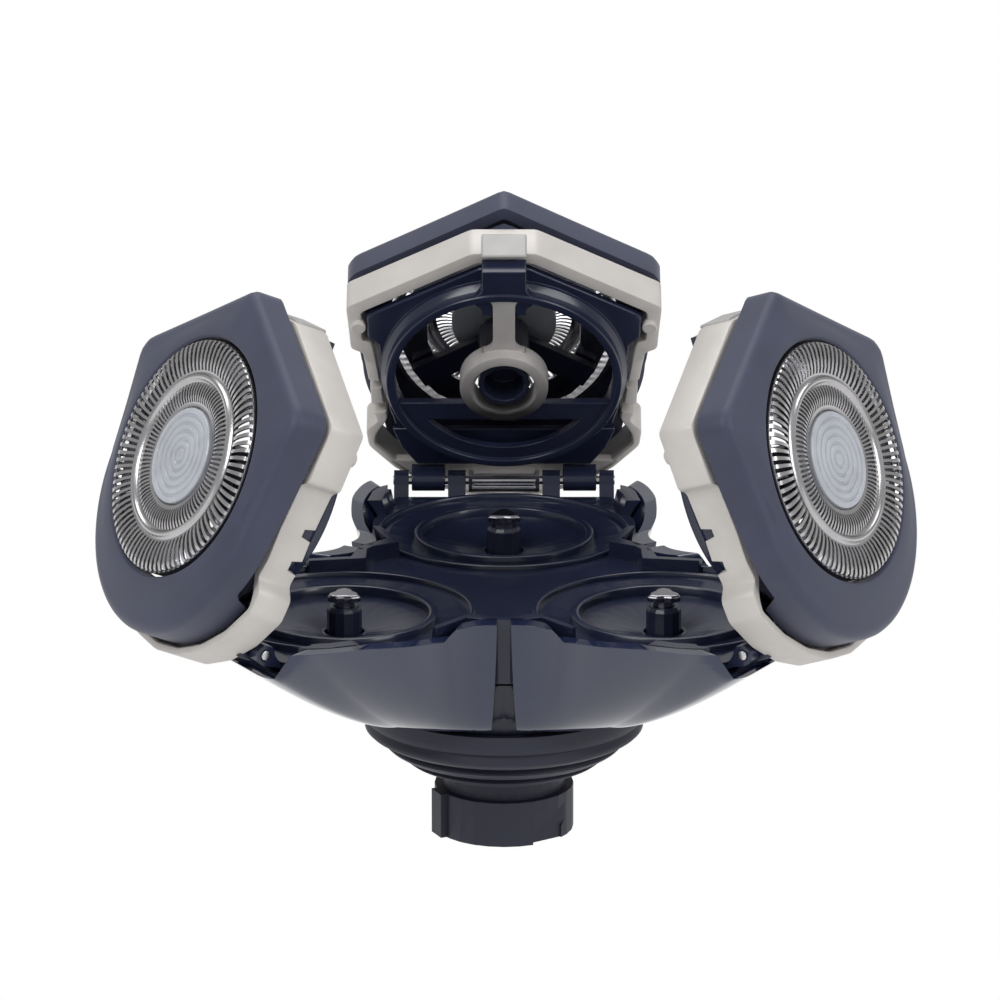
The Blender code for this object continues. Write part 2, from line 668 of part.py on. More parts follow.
def centre_gear():
    """Large gear with a long socket for the ball end of the drive shaft."""
    bm = bmesh.new()
    prism(bm, gear_outline(CENTRE_TEETH, 0.0), GEAR_LOW, GEAR_HIGH)
    gear = make_object("centre_gear", bm, None, "gear_plastic", radians(30))
    bm = bmesh.new()
    outer = SOCKET_RADIUS + SOCKET_WALL
    drum(bm, outer, GIMBAL_HEIGHT - 0.0008, (GEAR_LOW + GEAR_HIGH) / 2, 16)
    combine(gear, bm, "UNION")
    bm = bmesh.new()
    drum(bm, SOCKET_RADIUS, GIMBAL_HEIGHT - 0.0018, GIMBAL_HEIGHT + 0.0032, 16)
    combine(gear, bm, "DIFFERENCE")
    return gear


def drive_shaft():
    """Turned shaft with a ball end in the gear's socket and a driven socket at the foot."""
    ball = SHAFT_RADIUS - 0.0002
    bm = bmesh.new()
    profile = [(SHAFT_RADIUS, 0.0012), (SHAFT_RADIUS, STEM_NECK_HEIGHT + 0.0002),
               (SHAFT_NECK, STEM_NECK_HEIGHT + 0.0006)]
    low = -radians(50)
    for step in range(5):
        angle = low + (radians(75) - low) * step / 4
        profile.append((ball * cos(angle), GIMBAL_HEIGHT + ball * sin(angle)))
    turned(bm, profile, 16)
    shaft = make_object("drive_shaft", bm, None, "steel", radians(40))
    bm = bmesh.new()
    drum(bm, 0.0014, 0.0, 0.0036, 6)
    combine(shaft, bm, "DIFFERENCE")
    return shaft


def coupling_stem():
    """Moulded stem: coupling skirt, shaft bearing and two gimbal lugs."""
    bm = bmesh.new()
    profile = ((STEM_RADIUS, 0.0), (STEM_RADIUS, STEM_SHOULDER), (STEM_NECK_RADIUS, STEM_SHOULDER),
               (STEM_NECK_RADIUS, STEM_NECK_HEIGHT), (STEM_BORE, STEM_NECK_HEIGHT),
               (STEM_BORE, STEM_CAVITY_HEIGHT), (STEM_CAVITY_RADIUS, STEM_CAVITY_HEIGHT),
               (STEM_CAVITY_RADIUS, 0.0))
    lathe(bm, profile, 28)
    stem = make_object("coupling_stem", bm, None, "black_plastic", radians(40))
    bm = bmesh.new()
    for side in (-1, 1):
        lug = bmesh.new()
        half = LUG_WIDTH / 2
        outline = [(-half, STEM_NECK_HEIGHT - 0.0004), (half, STEM_NECK_HEIGHT - 0.0004),
                   *arc(half, 0, pi, 6, (0, GIMBAL_HEIGHT))]
        start, end = sorted((side * STEM_LUG_IN, side * STEM_LUG_OUT))
        bar_along_y(lug, outline, start, end)
        lug.transform(Matrix.Rotation(pi / 2, 4, "Z"))
        add_mesh(bm, lug)
    combine(stem, bm, "UNION")
    bm = bmesh.new()
    drum(bm, TRUNNION_RADIUS + RUN, -STEM_LUG_OUT - 0.001, STEM_LUG_OUT + 0.001, 12)
    bm.transform(Matrix.Translation((0, 0, GIMBAL_HEIGHT)) @ Matrix.Rotation(pi / 2, 4, "Y"))
    combine(stem, bm, "DIFFERENCE")
    bm = bmesh.new()
    box(bm, (-STEM_RADIUS - 0.0005, -0.0011, 0.0), (-STEM_CAVITY_RADIUS - 0.0004, 0.0011, STEM_SHOULDER))
    bm.transform(Matrix.Rotation(radians(25), 4, "Z"))
    combine(stem, bm, "UNION")
    bm = bmesh.new()
    bayonet = [(-0.0012, -0.001), (0.0024, -0.001), (0.0024, 0.0012), (0.0042, 0.0030), (0.0030, 0.0036),
               (-0.0012, 0.0014)]
    bar_along_y(bm, bayonet, -STEM_RADIUS - 0.001, -STEM_RADIUS + 0.0007)
    bm.transform(Matrix.Rotation(radians(35), 4, "Z"))
    combine(stem, bm, "DIFFERENCE")
    return stem


def gimbal_ring():
    """Ring with two pins inward to the stem and two outward to the head."""
    bm = bmesh.new()
    low, high = GIMBAL_HEIGHT - GIMBAL_HALF, GIMBAL_HEIGHT + GIMBAL_HALF
    lathe(bm, ((GIMBAL_IN, low), (GIMBAL_OUT, low), (GIMBAL_OUT, high), (GIMBAL_IN, high)), 24)
    ring = make_object("gimbal_ring", bm, None, "steel", radians(40))
    overlap = 0.0006
    bm = bmesh.new()
    spans = ((STEM_LUG_IN + 0.0002, GIMBAL_IN + overlap, 0), (GIMBAL_OUT - overlap, HEAD_LUG_OUT, pi / 2))
    for start, end, turn in spans:
        for side in (0, pi):
            pin = bmesh.new()
            drum(pin, TRUNNION_RADIUS, start, end, 10)
            pin.transform(Matrix.Translation((0, 0, GIMBAL_HEIGHT)) @ Matrix.Rotation(turn + side, 4, "Z")
                          @ Matrix.Rotation(pi / 2, 4, "Y"))
            add_mesh(bm, pin)
    combine(ring, bm, "UNION")
    return ring


def bellows():
    """Stepped rubber sleeve from the head's neck down to the stem."""
    length = BELLOWS_HIGH - BELLOWS_LOW
    outer = [(radius, BELLOWS_LOW + length * share) for radius, share in BELLOWS_RIBS]
    neck = STEM_NECK_RADIUS + GAP
    inner = [(neck, outer[-1][1]), (neck, outer[-2][1] + BELLOWS_WALL),
             (outer[8][0] - BELLOWS_WALL, outer[8][1] + BELLOWS_WALL / 2),
             (outer[5][0] - BELLOWS_WALL / 2, outer[5][1] + BELLOWS_WALL),
             (NECK_OUT + GAP, outer[2][1] - GAP), (NECK_OUT + GAP, outer[0][1])]
    bm = bmesh.new()
    lathe(bm, [*outer, *inner], 24)
    return make_object("bellows", bm, None, "rubber", radians(50))


def spindle_set(name, azimuth):
    """One pinion with its post, spring, sliding spindle and drive tip."""
    axes = empty(f"{name}_spindle_axes",
                 lobe_matrix(azimuth) @ Matrix.Translation((SPINDLE_RADIUS, 0, 0)))
    bm = bmesh.new()
    prism(bm, gear_outline(PINION_TEETH, 0.0), GEAR_LOW, GEAR_HIGH)
    gear = make_object(f"{name}_spindle_gear", bm, axes, "gear_plastic", radians(30))
    floor = GEAR_LOW + 0.0003
    bm = bmesh.new()
    drum(bm, SPINDLE_OUTER + 0.0002, floor, GEAR_HIGH + 0.001, 12)
    combine(gear, bm, "DIFFERENCE")
    bm = bmesh.new()
    drum(bm, POST_RADIUS, floor - 0.0002, SPINDLE_LOW + POST_REACH, 8)
    drum_low = SPLIT_HEIGHT - GAP - 0.0010
    foot = bmesh.new()
    drum(foot, 0.0009, drum_low, GEAR_LOW + 0.0002, 10)
    add_mesh(bm, foot)
    combine(gear, bm, "UNION")
    bm = bmesh.new()
    shoulder = SPINDLE_HIGH - 0.0004
    profile = ((SPINDLE_BORE, SPINDLE_LOW), (SPINDLE_OUTER, SPINDLE_LOW), (SPINDLE_OUTER, shoulder),
               (SPINDLE_OUTER - 0.0003, SPINDLE_HIGH), (0.0010 + RUN / 2, SPINDLE_HIGH),
               (0.0010 + RUN / 2, SPINDLE_HIGH - 0.0009), (SPINDLE_BORE, SPINDLE_HIGH - 0.0012))
    lathe(bm, profile, 12)
    make_object(f"{name}_spindle", bm, axes, "black_plastic", radians(35))
    bm = bmesh.new()
    lobes = []
    for step in range(12):
        angle = 2 * pi * step / 12
        reach = SPINDLE_TIP_RADIUS * (0.80 + 0.20 * cos(3 * angle))
        lobes.append((reach * cos(angle), reach * sin(angle)))
    head_low = SPINDLE_TIP_TOP - 0.0007
    small = [(0.85 * x, 0.85 * y, SPINDLE_TIP_TOP) for x, y in lobes]
    neck = circle(0.0010, 12)
    loops = [[(x, y, SPINDLE_HIGH - 0.0008) for x, y in neck], [(x, y, head_low) for x, y in neck],
             [(x, y, head_low) for x, y in lobes], [(x, y, SPINDLE_TIP_TOP - 0.0002) for x, y in lobes],
             small]
    loft(bm, loops)
    make_object(f"{name}_spindle_tip", bm, axes, "steel", radians(35))
    spindle_spring(name, axes, floor)


def spindle_spring(name, axes, floor):
    """Helical spring between the pinion's floor and the spindle, swept along a helix."""
    radius = (POST_RADIUS + SPINDLE_BORE) / 2
    low = floor + SPRING_WIRE + 0.00005
    high = SPINDLE_HIGH - 0.0012 - SPRING_WIRE - 0.00005
    steps = SPRING_TURNS * 6
    bm = bmesh.new()
    loops = []
    for step in range(steps + 1):
        share = step / steps
        angle = 2 * pi * SPRING_TURNS * share
        across = Vector((cos(angle), sin(angle), 0.0))
        centre = across * radius + Vector((0, 0, low + (high - low) * share))
        loops.append([centre + across * (SPRING_WIRE * cos(turn)) + Vector((0, 0, SPRING_WIRE * sin(turn)))
                      for turn in (0, pi / 2, pi, 3 * pi / 2)])
    loft(bm, loops)
    make_object(f"{name}_spindle_spring", bm, axes, "steel", radians(60))


def hinge_hardware(name, azimuth):
    """Pin through the knuckles and the spring clip at its middle."""
    at_hinge = lobe_matrix(azimuth) @ Matrix.Translation((HINGE_RADIUS, 0, HINGE_HEIGHT))
    axes = empty(f"{name}_hinge_axes", at_hinge)
    bm = bmesh.new()
    drum(bm, PIN_RADIUS, -PIN_HALF, PIN_HALF, 8)
    bm.transform(Matrix.Rotation(-pi / 2, 4, "X"))
    make_object(f"{name}_hinge_pin", bm, axes, "steel", radians(40))
    bm = bmesh.new()
    front = -PIN_RADIUS - 0.0006
    loop_front = front + CLIP_BAR
    outer = ((-CLIP_HALF, -CLIP_HEIGHT), (CLIP_HALF, -CLIP_HEIGHT), (CLIP_HALF, CLIP_HEIGHT),
             (-CLIP_HALF, CLIP_HEIGHT))
    inner = [(x - CLIP_BAR if x > 0 else x + CLIP_BAR, y - CLIP_BAR if y > 0 else y + CLIP_BAR)
             for x, y in outer]
    ring_prism(bm, outer, inner, front, loop_front)
    bm.transform(Matrix(((0, 0, 1, 0), (1, 0, 0, 0), (0, 1, 0, 0), (0, 0, 0, 1))))
    clip = make_object(f"{name}_hinge_clip", bm, axes, "steel")
    bm = bmesh.new()
    for start in (-CLIP_HALF, CLIP_HALF - CLIP_BAR):
        box(bm, (front + 0.0001, start, -CLIP_HEIGHT), (0.0007, start + CLIP_BAR, CLIP_HEIGHT))
    combine(clip, bm, "UNION")
    bm = bmesh.new()
    drum(bm, PIN_RADIUS + RUN, -CLIP_HALF - 0.001, CLIP_HALF + 0.001, 8)
    bm.transform(Matrix.Rotation(-pi / 2, 4, "X"))
    combine(clip, bm, "DIFFERENCE")


def about_cap(points):
    """Move points that are drawn about the cap's centre to the holder's own axes."""
    return [(FACE_CENTRE + x, y) for x, y in points]


def frame_outline(half, radius):
    """Frame outline: the given half, then the round end."""
    steps = 8
    side = about_cap(half)
    end = arc(radius, pi - FRAME_ARC_HALF, pi + FRAME_ARC_HALF, steps, (FRAME_ROUND_CENTRE, 0))
    return [*side, *end, *[(x, -y) for x, y in reversed(side)]]


def holder_frame(name, axes):
    """Metal-look frame with hinge barrels, floor at the hinge, studs and pivot holes."""
    outer = frame_outline(FRAME_OUTER, FRAME_ROUND_RADIUS)
    inner = frame_outline(FRAME_INNER, FRAME_ROUND_RADIUS - FRAME_END_WALL)
    bm = bmesh.new()
    ring_prism(bm, outer, inner, FRAME_LOW, FRAME_HIGH)
    frame = make_object(f"{name}_holder_frame", bm, axes, "champagne", radians(30))
    middle = FRAME_ROUND_RADIUS - FRAME_END_WALL / 2
    half = asin(sqrt(middle ** 2 - (FRAME_ROUND_CENTRE - FRAME_FLOOR_EDGE) ** 2) / middle)
    bm = bmesh.new()
    prism(bm, arc(middle, pi - half, pi + half, 8, (FRAME_ROUND_CENTRE, 0)), FRAME_LOW,
          FRAME_LOW + FRAME_FLOOR)
    combine(frame, bm, "UNION")
    bm = bmesh.new()
    barrel = [(BARREL_RADIUS, FRAME_LOW + FRAME_FLOOR / 2), (-BARREL_RADIUS, FRAME_LOW + FRAME_FLOOR / 2),
              *arc(BARREL_RADIUS, pi, 2 * pi, 6)]
    for start, end in (BARREL, (-BARREL[1], -BARREL[0])):
        bar_along_y(bm, barrel, start, end)
    for side in (-1, 1):
        stud = bmesh.new()
        drum(stud, STUD_RADIUS, FRAME_LOW - STUD_LENGTH, FRAME_LOW + 0.0005, 10,
             (FACE_CENTRE + STUD_PLACE[0], side * STUD_PLACE[1]))
        add_mesh(bm, stud)
    combine(frame, bm, "UNION")
    bm = bmesh.new()
    drum(bm, PIN_RADIUS + RUN, -BARREL[1] - 0.001, BARREL[1] + 0.001, 8)
    bm.transform(Matrix.Rotation(-pi / 2, 4, "X"))
    pivots = bmesh.new()
    across = FRAME_OUTER[1][1] + 0.001
    drum(pivots, TILT_PIN_RADIUS + RUN, -across, across, 8)
    pivots.transform(Matrix.Translation((TILT_AXIS[0], 0, TILT_AXIS[1])) @ Matrix.Rotation(-pi / 2, 4, "X"))
    add_mesh(bm, pivots)
    for place, _ in about_cap([(start, 0.0) for start in NOTCH_PLACES]):
        notch = bmesh.new()
        box(notch, (place, -across, FRAME_LOW - 0.001), (place + NOTCH_WIDTH, across, FRAME_LOW + NOTCH_DEPTH))
        add_mesh(bm, notch)
    combine(frame, bm, "DIFFERENCE")
    return frame


def skin_radius(angle):
    """Distance from the cap's centre to the skin's outline in one direction."""
    end = arc(SKIN_ROUND_RADIUS, pi / 2, pi, 10, (SKIN_ROUND_CENTRE - FACE_CENTRE, 0))
    points = [*SKIN_OUTLINE, *end]
    side = abs(angle)
    for (x0, y0), (x1, y1) in zip(points, points[1:]):
        if atan2(y1, x1) >= side - 1e-9:
            break
    along = x0 * sin(side) - y0 * cos(side)
    across = (y1 - y0) * cos(side) - (x1 - x0) * sin(side)
    share = along / across
    return (x0 + share * (x1 - x0)) * cos(side) + (y0 + share * (y1 - y0)) * sin(side)


def face_skin(name, axes):
    """Soft-touch face: crowned shell round the cap, cut back towards the hinge, with two pivot ears."""
    corners = [atan2(y, x) for x, y in SKIN_OUTLINE[:-1]]
    half = sorted([*corners, *[radians(a) for a in (20, 40, 98, 112, 126, 140, 153, 166)]])
    angles = half + [pi] + [-a for a in reversed(half) if a > 1e-9]

    def loop(height, inset=0.0, fixed=None):
        radii = [fixed or skin_radius(angle) - inset for angle in angles]
        return [(FACE_CENTRE + r * cos(a), r * sin(a), height) for r, a in zip(radii, angles)]

    hole = CAP_RADIUS + GAP
    under = CAP_LOW + 0.0012
    def back_edge(inset):
        slope = tan(TILT_RANGE)
        return [(x, y, SKIN_BACK + max(TILT_AXIS[0] - x, 0.0) * slope) for x, y, _ in loop(0.0, inset)]

    loops = [back_edge(0.0), loop(SKIN_EDGE), loop(SKIN_EDGE + 0.0007, 0.0012),
             loop(SKIN_CROWN, fixed=hole + 0.0004), loop(SKIN_CROWN - 0.0004, fixed=hole),
             loop(under, fixed=hole), loop(under, SKIN_WALL), back_edge(SKIN_WALL)]
    bm = bmesh.new()
    loft(bm, loops, ring=True)
    bm.transform(Matrix.Translation((-TILT_AXIS[0], 0, -TILT_AXIS[1])))
    skin = make_object(f"{name}_face_skin", bm, axes, "soft_touch", radians(24))
    half_width = EAR_WIDTH / 2
    low = TILT_AXIS[1] - 0.0008
    bm = bmesh.new()
    for side in (-1, 1):
        start, end = sorted((side * EAR_IN, side * (EAR_IN + EAR_THICKNESS)))
        box(bm, (TILT_AXIS[0] - half_width, start, low), (TILT_AXIS[0] + half_width, end, under + 0.0005))
        pin = bmesh.new()
        drum(pin, TILT_PIN_RADIUS, EAR_IN + EAR_THICKNESS / 2, EAR_IN + 0.0015, 8)
        pin.transform(Matrix.Translation((TILT_AXIS[0], 0, TILT_AXIS[1]))
                      @ Matrix.Rotation(-side * pi / 2, 4, "X"))
        add_mesh(bm, pin)
    bm.transform(Matrix.Translation((-TILT_AXIS[0], 0, -TILT_AXIS[1])))
    combine(skin, bm, "UNION")
    return skin


def shaving_cap(name, axes):
    """Pressed steel cap: raised tracks with radial slots, rolled edge and flange."""
    columns = []
    for slot in range(CAP_SLOTS):
        for share in (0.0, SLOT_SHARE):
            columns.append(2 * pi * (slot + share) / CAP_SLOTS)
    inner_wall = CAP_RADIUS - 0.0005
    section = [(radius, height) for radius, height, _ in CAP_RINGS]
    count = len(section)
    below = [(radius, height - CAP_SHEET) for radius, height in reversed(section[1:])]
    skirt = [(inner_wall, section[0][1] - CAP_SHEET), (inner_wall, CAP_LOW), (CAP_FLANGE, CAP_LOW),
             (CAP_FLANGE, CAP_LOW + 0.0005), (CAP_RADIUS, CAP_LOW + 0.0005)]
    section += below + skirt
    bm = bmesh.new()
    grid = [[bm.verts.new((r * cos(a), r * sin(a), h)) for r, h in section] for a in columns]
    total = len(section)
    for column, here in enumerate(grid):
        after = grid[(column + 1) % len(grid)]
        for row in range(total):
            following = (row + 1) % total
            below_row = 2 * count - 2 - row
            is_top_slot = row < count and CAP_RINGS[row][2]
            matching = 2 * count - 2 - following if row >= count else row
            is_under_slot = count <= row < 2 * count - 1 and CAP_RINGS[matching][2]
            if column % 2 == 0 and (is_top_slot or is_under_slot):
                if is_top_slot:
                    wall_slot(bm, here, after, row, below_row)
                continue
            bm.faces.new((here[row], after[row], after[following], here[following]))
    bm.transform(Matrix.Translation((FACE_CENTRE - TILT_AXIS[0], 0, -TILT_AXIS[1])))
    return make_object(f"{name}_shaving_cap", bm, axes, "steel", radians(25))


def wall_slot(bm, here, after, row, under):
    """Close the four sides of one slot, between the upper and the lower face of the sheet."""
    rim = ((here[row], after[row]), (after[row], after[row + 1]), (after[row + 1], here[row + 1]),
           (here[row + 1], here[row]))
    low = ((here[under], after[under]), (after[under], after[under - 1]),
           (after[under - 1], here[under - 1]), (here[under - 1], here[under]))
    for (first, second), (first_low, second_low) in zip(rim, low):
        bm.faces.new((first, second, second_low, first_low))


def cap_disc(name, axes):
    """Centre disc with plain concentric rings and a lip under the cap."""
    lip = CAP_RINGS[-1][1] - CAP_SHEET - GAP
    ring_in = 0.0022
    ring_out = 0.0033
    bm = bmesh.new()
    turned(bm, [(DISC_RADIUS + 0.0006, lip - 0.0006), (DISC_RADIUS + 0.0006, lip), (DISC_RADIUS, lip),
                (DISC_RADIUS, DISC_TOP - 0.0001), (DISC_RADIUS - 0.0002, DISC_TOP), (ring_out, DISC_TOP),
                (ring_out - 0.0002, DISC_TOP - 0.0002), (ring_in, DISC_TOP - 0.0002)], 16)
    bm.transform(Matrix.Translation((FACE_CENTRE - TILT_AXIS[0], 0, -TILT_AXIS[1])))
    return make_object(f"{name}_cap_disc", bm, axes, "grey_plastic", radians(30))


def cutter(name, axes):
    """Plastic carrier with a drive socket, and the steel ring of standing blades it turns."""
    bm = bmesh.new()
    socket_top = SPINDLE_TIP_TOP - HINGE_HEIGHT + 0.0005
    turned(bm, ((HUB_RADIUS, HUB_LOW), (HUB_RADIUS, HUB_HIGH)), 16)
    carrier = make_object(f"{name}_cutter_carrier", bm, axes, "black_plastic", radians(35))
    bm = bmesh.new()
    for turn in range(3):
        arm = bmesh.new()
        box(arm, (HUB_RADIUS - 0.001, -ARM_WIDTH / 2, ARM_LOW), (ARM_REACH, ARM_WIDTH / 2, ARM_HIGH))
        arm.transform(Matrix.Rotation(2 * pi * turn / 3, 4, "Z"))
        add_mesh(bm, arm)
    combine(carrier, bm, "UNION")
    bm = bmesh.new()
    drum(bm, HUB_SOCKET, HUB_LOW - 0.001, socket_top, 12)
    combine(carrier, bm, "DIFFERENCE")
    low = ARM_HIGH + GAP
    bm = bmesh.new()
    lathe(bm, ((BLADE_IN, low), (BLADE_OUT, low), (BLADE_OUT, low + BLADE_RING), (BLADE_IN, low + BLADE_RING)),
          18)
    blades = make_object(f"{name}_cutter_blades", bm, axes, "steel", radians(35))
    bm = bmesh.new()
    for turn in range(BLADE_COUNT):
        blade = bmesh.new()
        lean = 0.0006
        foot = low + BLADE_RING / 2
        side = [(-0.0003, foot), (0.0003, foot), (0.0003 + lean, BLADE_TOP), (-0.0001 + lean, BLADE_TOP)]
        loops = [[(BLADE_IN + 0.0003, y, z) for y, z in side], [(BLADE_OUT - 0.0003, y, z) for y, z in side]]
        loft(blade, loops)
        blade.transform(Matrix.Rotation(2 * pi * turn / BLADE_COUNT, 4, "Z"))
        add_mesh(bm, blade)
    combine(blades, bm, "UNION")


def retaining_frame(name, axes):
    """Clip-in frame: outer plate, ring with two windows and a lens slot, spoke and hub."""
    centre = (FACE_CENTRE, 0.0)
    hole = RETAINER_RING_IN + 0.0006
    end = acos(RETAINER_OUTLINE[-1][0] / hole)
    side = about_cap(RETAINER_OUTLINE)
    plate = [*reversed(side), *[(x, -y) for x, y in side], *arc(hole, -end, end, 14, centre)]
    bm = bmesh.new()
    prism(bm, plate, *RETAINER_PLATE)
    frame = make_object(f"{name}_retaining_frame", bm, axes, "black_plastic", radians(30))
    bm = bmesh.new()
    profile = ((RETAINER_RING_IN, RETAINER_LOW), (RETAINER_RING_OUT, RETAINER_LOW),
               (RETAINER_RING_OUT, RETAINER_WEB[1] - 0.0002), (RETAINER_STEP, RETAINER_WEB[1] + 0.0003),
               (RETAINER_STEP, RETAINER_PLATE[1] - 0.0002), (RETAINER_RING_IN, RETAINER_PLATE[1] - 0.0002))
    lathe(bm, profile, 20, centre)
    combine(frame, bm, "UNION")
    bm = bmesh.new()
    reach = RETAINER_RING_IN + 0.0003
    high_edge = asin(-WING_HIGH_EDGE / reach)
    low_edge = asin(-WING_LOW_EDGE / LENS_RADIUS)
    web = arc(reach, pi / 2 + high_edge, 3 * pi / 2 - high_edge, 9, centre)
    lens = arc(LENS_RADIUS, pi / 2 + low_edge, 3 * pi / 2 - low_edge, 9, centre)
    ring_prism(bm, web, lens, *RETAINER_WEB)
    combine(frame, bm, "UNION")
    bm = bmesh.new()
    half = SPOKE_WIDTH / 2
    box(bm, (FACE_CENTRE + RETAINER_HUB_IN + 0.0004, -half, RETAINER_WEB[0] - 0.0003),
        (FACE_CENTRE + reach + 0.0002, half, RETAINER_WEB[1] - 0.0002))
    combine(frame, bm, "UNION")
    bm = bmesh.new()
    hub_top = RETAINER_WEB[1] - 0.0001
    lathe(bm, ((RETAINER_HUB_IN, RETAINER_HUB_LOW), (RETAINER_HUB_OUT, RETAINER_HUB_LOW),
               (RETAINER_HUB_OUT, hub_top), (RETAINER_HUB_IN, hub_top)), 16, centre)
    combine(frame, bm, "UNION")
    return frame


def retainer_latch(name, axes):
    """Sprung metal latch at the tip of the frame."""
    inner = FACE_CENTRE + FRAME_INNER[0][0] - GAP - LATCH_SHEET
    low = RETAINER_PLATE[1] + GAP
    outline = [(inner - 0.0030, low), (inner + LATCH_SHEET, low), (inner + LATCH_SHEET, 0.0044),
               (inner, 0.0044), (inner - 0.0004, low + LATCH_SHEET), (inner - 0.0030, low + LATCH_SHEET)]
    bm = bmesh.new()
    bar_along_y(bm, outline, -LATCH_HALF, LATCH_HALF)
    return make_object(f"{name}_retainer_latch", bm, axes, "champagne")


def holder(name, azimuth, opening, tilt):
    """One flip-up cutter holder, on an empty at its hinge."""
    hinge = (lobe_matrix(azimuth) @ Matrix.Translation((HINGE_RADIUS, 0, HINGE_HEIGHT))
             @ Matrix.Rotation(pi, 4, "Z") @ Matrix.Rotation(-opening, 4, "Y"))
    holder_axes = empty(f"{name}_holder_axes", hinge)
    tilt_matrix = Matrix.Translation((TILT_AXIS[0], 0, TILT_AXIS[1])) @ Matrix.Rotation(-tilt, 4, "Y")
    tilt_axes = empty(f"{name}_tilt_axes", tilt_matrix, holder_axes)
    cutter_matrix = Matrix.Translation((FACE_CENTRE - TILT_AXIS[0], 0, -TILT_AXIS[1]))
    cutter_axes = empty(f"{name}_cutter_axes", cutter_matrix, tilt_axes)
    holder_frame(name, holder_axes)
    retaining_frame(name, holder_axes)
    retainer_latch(name, holder_axes)
    face_skin(name, tilt_axes)
    shaving_cap(name, tilt_axes)
    cap_disc(name, tilt_axes)
    cutter(name, cutter_axes)


def case_screw(name, azimuth):
    """Screw that holds the two halves of the case together, under the seam beside a lobe."""
    low = SPLIT_HEIGHT - SCREW_GRIP
    profile = ((SCREW_HEAD_RADIUS, low - SCREW_HEAD_HEIGHT), (SCREW_HEAD_RADIUS, low), (SCREW_RADIUS, low),
               (SCREW_RADIUS, SPLIT_HEIGHT + SCREW_BITE))
    bm = bmesh.new()
    turned(bm, profile, 10)
    axes = empty(f"{name}_screw_axes", screw_matrix(azimuth))
    make_object(f"{name}_case_screw", bm, axes, "steel", radians(40))


def screw_matrix(azimuth):
    """Place of the screw that follows a lobe."""
    return lobe_matrix(azimuth + SECTOR / 2) @ Matrix.Translation((SCREW_PLACE, 0, 0))


def cut_screw_holes(tray, shell):
    """Drill the tray and counterbore the lower half for the case screws."""
    low = SPLIT_HEIGHT - SCREW_GRIP + GAP
    head = SCREW_HEAD_RADIUS + GAP
    hole = SCREW_RADIUS + RUN
    for _, azimuth, _, _ in LOBES:
        bm = bmesh.new()
        drum(bm, hole, SPLIT_HEIGHT - 0.001, SPLIT_HEIGHT + SCREW_BITE + GAP, 10)
        bm.transform(screw_matrix(azimuth))
        combine(tray, bm, "DIFFERENCE")
        bm = bmesh.new()
        turned(bm, ((head, BOWL_FOOT[1] - 0.002), (head, low), (hole, low), (hole, SPLIT_HEIGHT + 0.001)), 10)
        bm.transform(screw_matrix(azimuth))
        combine(shell, bm, "DIFFERENCE")


def build():
    """Build the whole shaving unit."""
    for old in list(bpy.data.objects):
        bpy.data.objects.remove(old, do_unlink=True)
    coupling_stem()
    drive_shaft()
    gimbal_ring()
    bellows()
    tray = base_housing()
    shell = lower_housing()
    cut_screw_holes(tray, shell)
    centre_gear()
    for name, azimuth, opening, tilt in LOBES:
        outer_panel(name, azimuth)
        case_screw(name, azimuth)
        spindle_set(name, azimuth)
        hinge_hardware(name, azimuth)
        holder(name, azimuth, opening, tilt)


build()
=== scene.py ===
import bmesh
import bpy
from math import acos, asin, atan2, cos, pi, radians, sin, tan
from mathutils import Matrix, Vector


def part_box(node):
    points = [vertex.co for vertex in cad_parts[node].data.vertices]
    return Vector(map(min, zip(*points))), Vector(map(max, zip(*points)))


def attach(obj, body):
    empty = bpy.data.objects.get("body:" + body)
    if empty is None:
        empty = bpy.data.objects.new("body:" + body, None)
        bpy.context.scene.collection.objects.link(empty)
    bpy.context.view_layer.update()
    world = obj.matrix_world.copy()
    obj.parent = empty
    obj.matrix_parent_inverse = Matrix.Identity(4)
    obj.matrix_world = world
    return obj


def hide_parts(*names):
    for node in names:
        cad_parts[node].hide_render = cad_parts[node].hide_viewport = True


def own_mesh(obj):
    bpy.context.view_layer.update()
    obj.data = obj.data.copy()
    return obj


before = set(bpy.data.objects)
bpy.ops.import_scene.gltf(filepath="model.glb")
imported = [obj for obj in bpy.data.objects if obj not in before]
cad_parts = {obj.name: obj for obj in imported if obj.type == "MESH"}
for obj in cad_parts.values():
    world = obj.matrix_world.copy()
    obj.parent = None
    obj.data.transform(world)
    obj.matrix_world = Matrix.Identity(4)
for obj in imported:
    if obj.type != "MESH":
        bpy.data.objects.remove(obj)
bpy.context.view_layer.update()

# Lobes: azimuth and opening angle of the holder, and tilt of its face
LOBES = {
    "rear": (radians(90), radians(62), radians(4)),
    "left": (radians(210), radians(66), 0.0),
    "right": (radians(330), radians(70), 0.0),
}
SECTOR = radians(60)
HINGE_RADIUS = 0.0325
HINGE_HEIGHT = 0.02585
SPINDLE_RADIUS = 0.01785
FACE_CENTRE = HINGE_RADIUS - SPINDLE_RADIUS
TILT_AXIS = (0.0160, 0.0030)

# The photograph's camera
CAMERA_PLACE = (0.0, -0.7189, 0.2486)
CAMERA_PITCH = radians(16.66)
CAMERA_LENS = 276.8
CAMERA_SENSOR = 36.0
CAMERA_SHIFT = -0.004


# Materials

COAT_ROUGHNESS = 0.08
PATCH_SCALE = 260.0
ROUGHNESS_SPREAD = 0.12
# Share of the colour left at the lower height of the painted shade
PAINTED_SHADE_DARKEST = 0.08
GRAIN_HEIGHT = 0.0001


def node(tree, kind, **inputs):
    """Add a shader node and set its inputs by name, with spaces written as underscores."""
    made = tree.nodes.new(kind)
    for key, value in inputs.items():
        made.inputs[key.replace("_", " ")].default_value = value
    return made


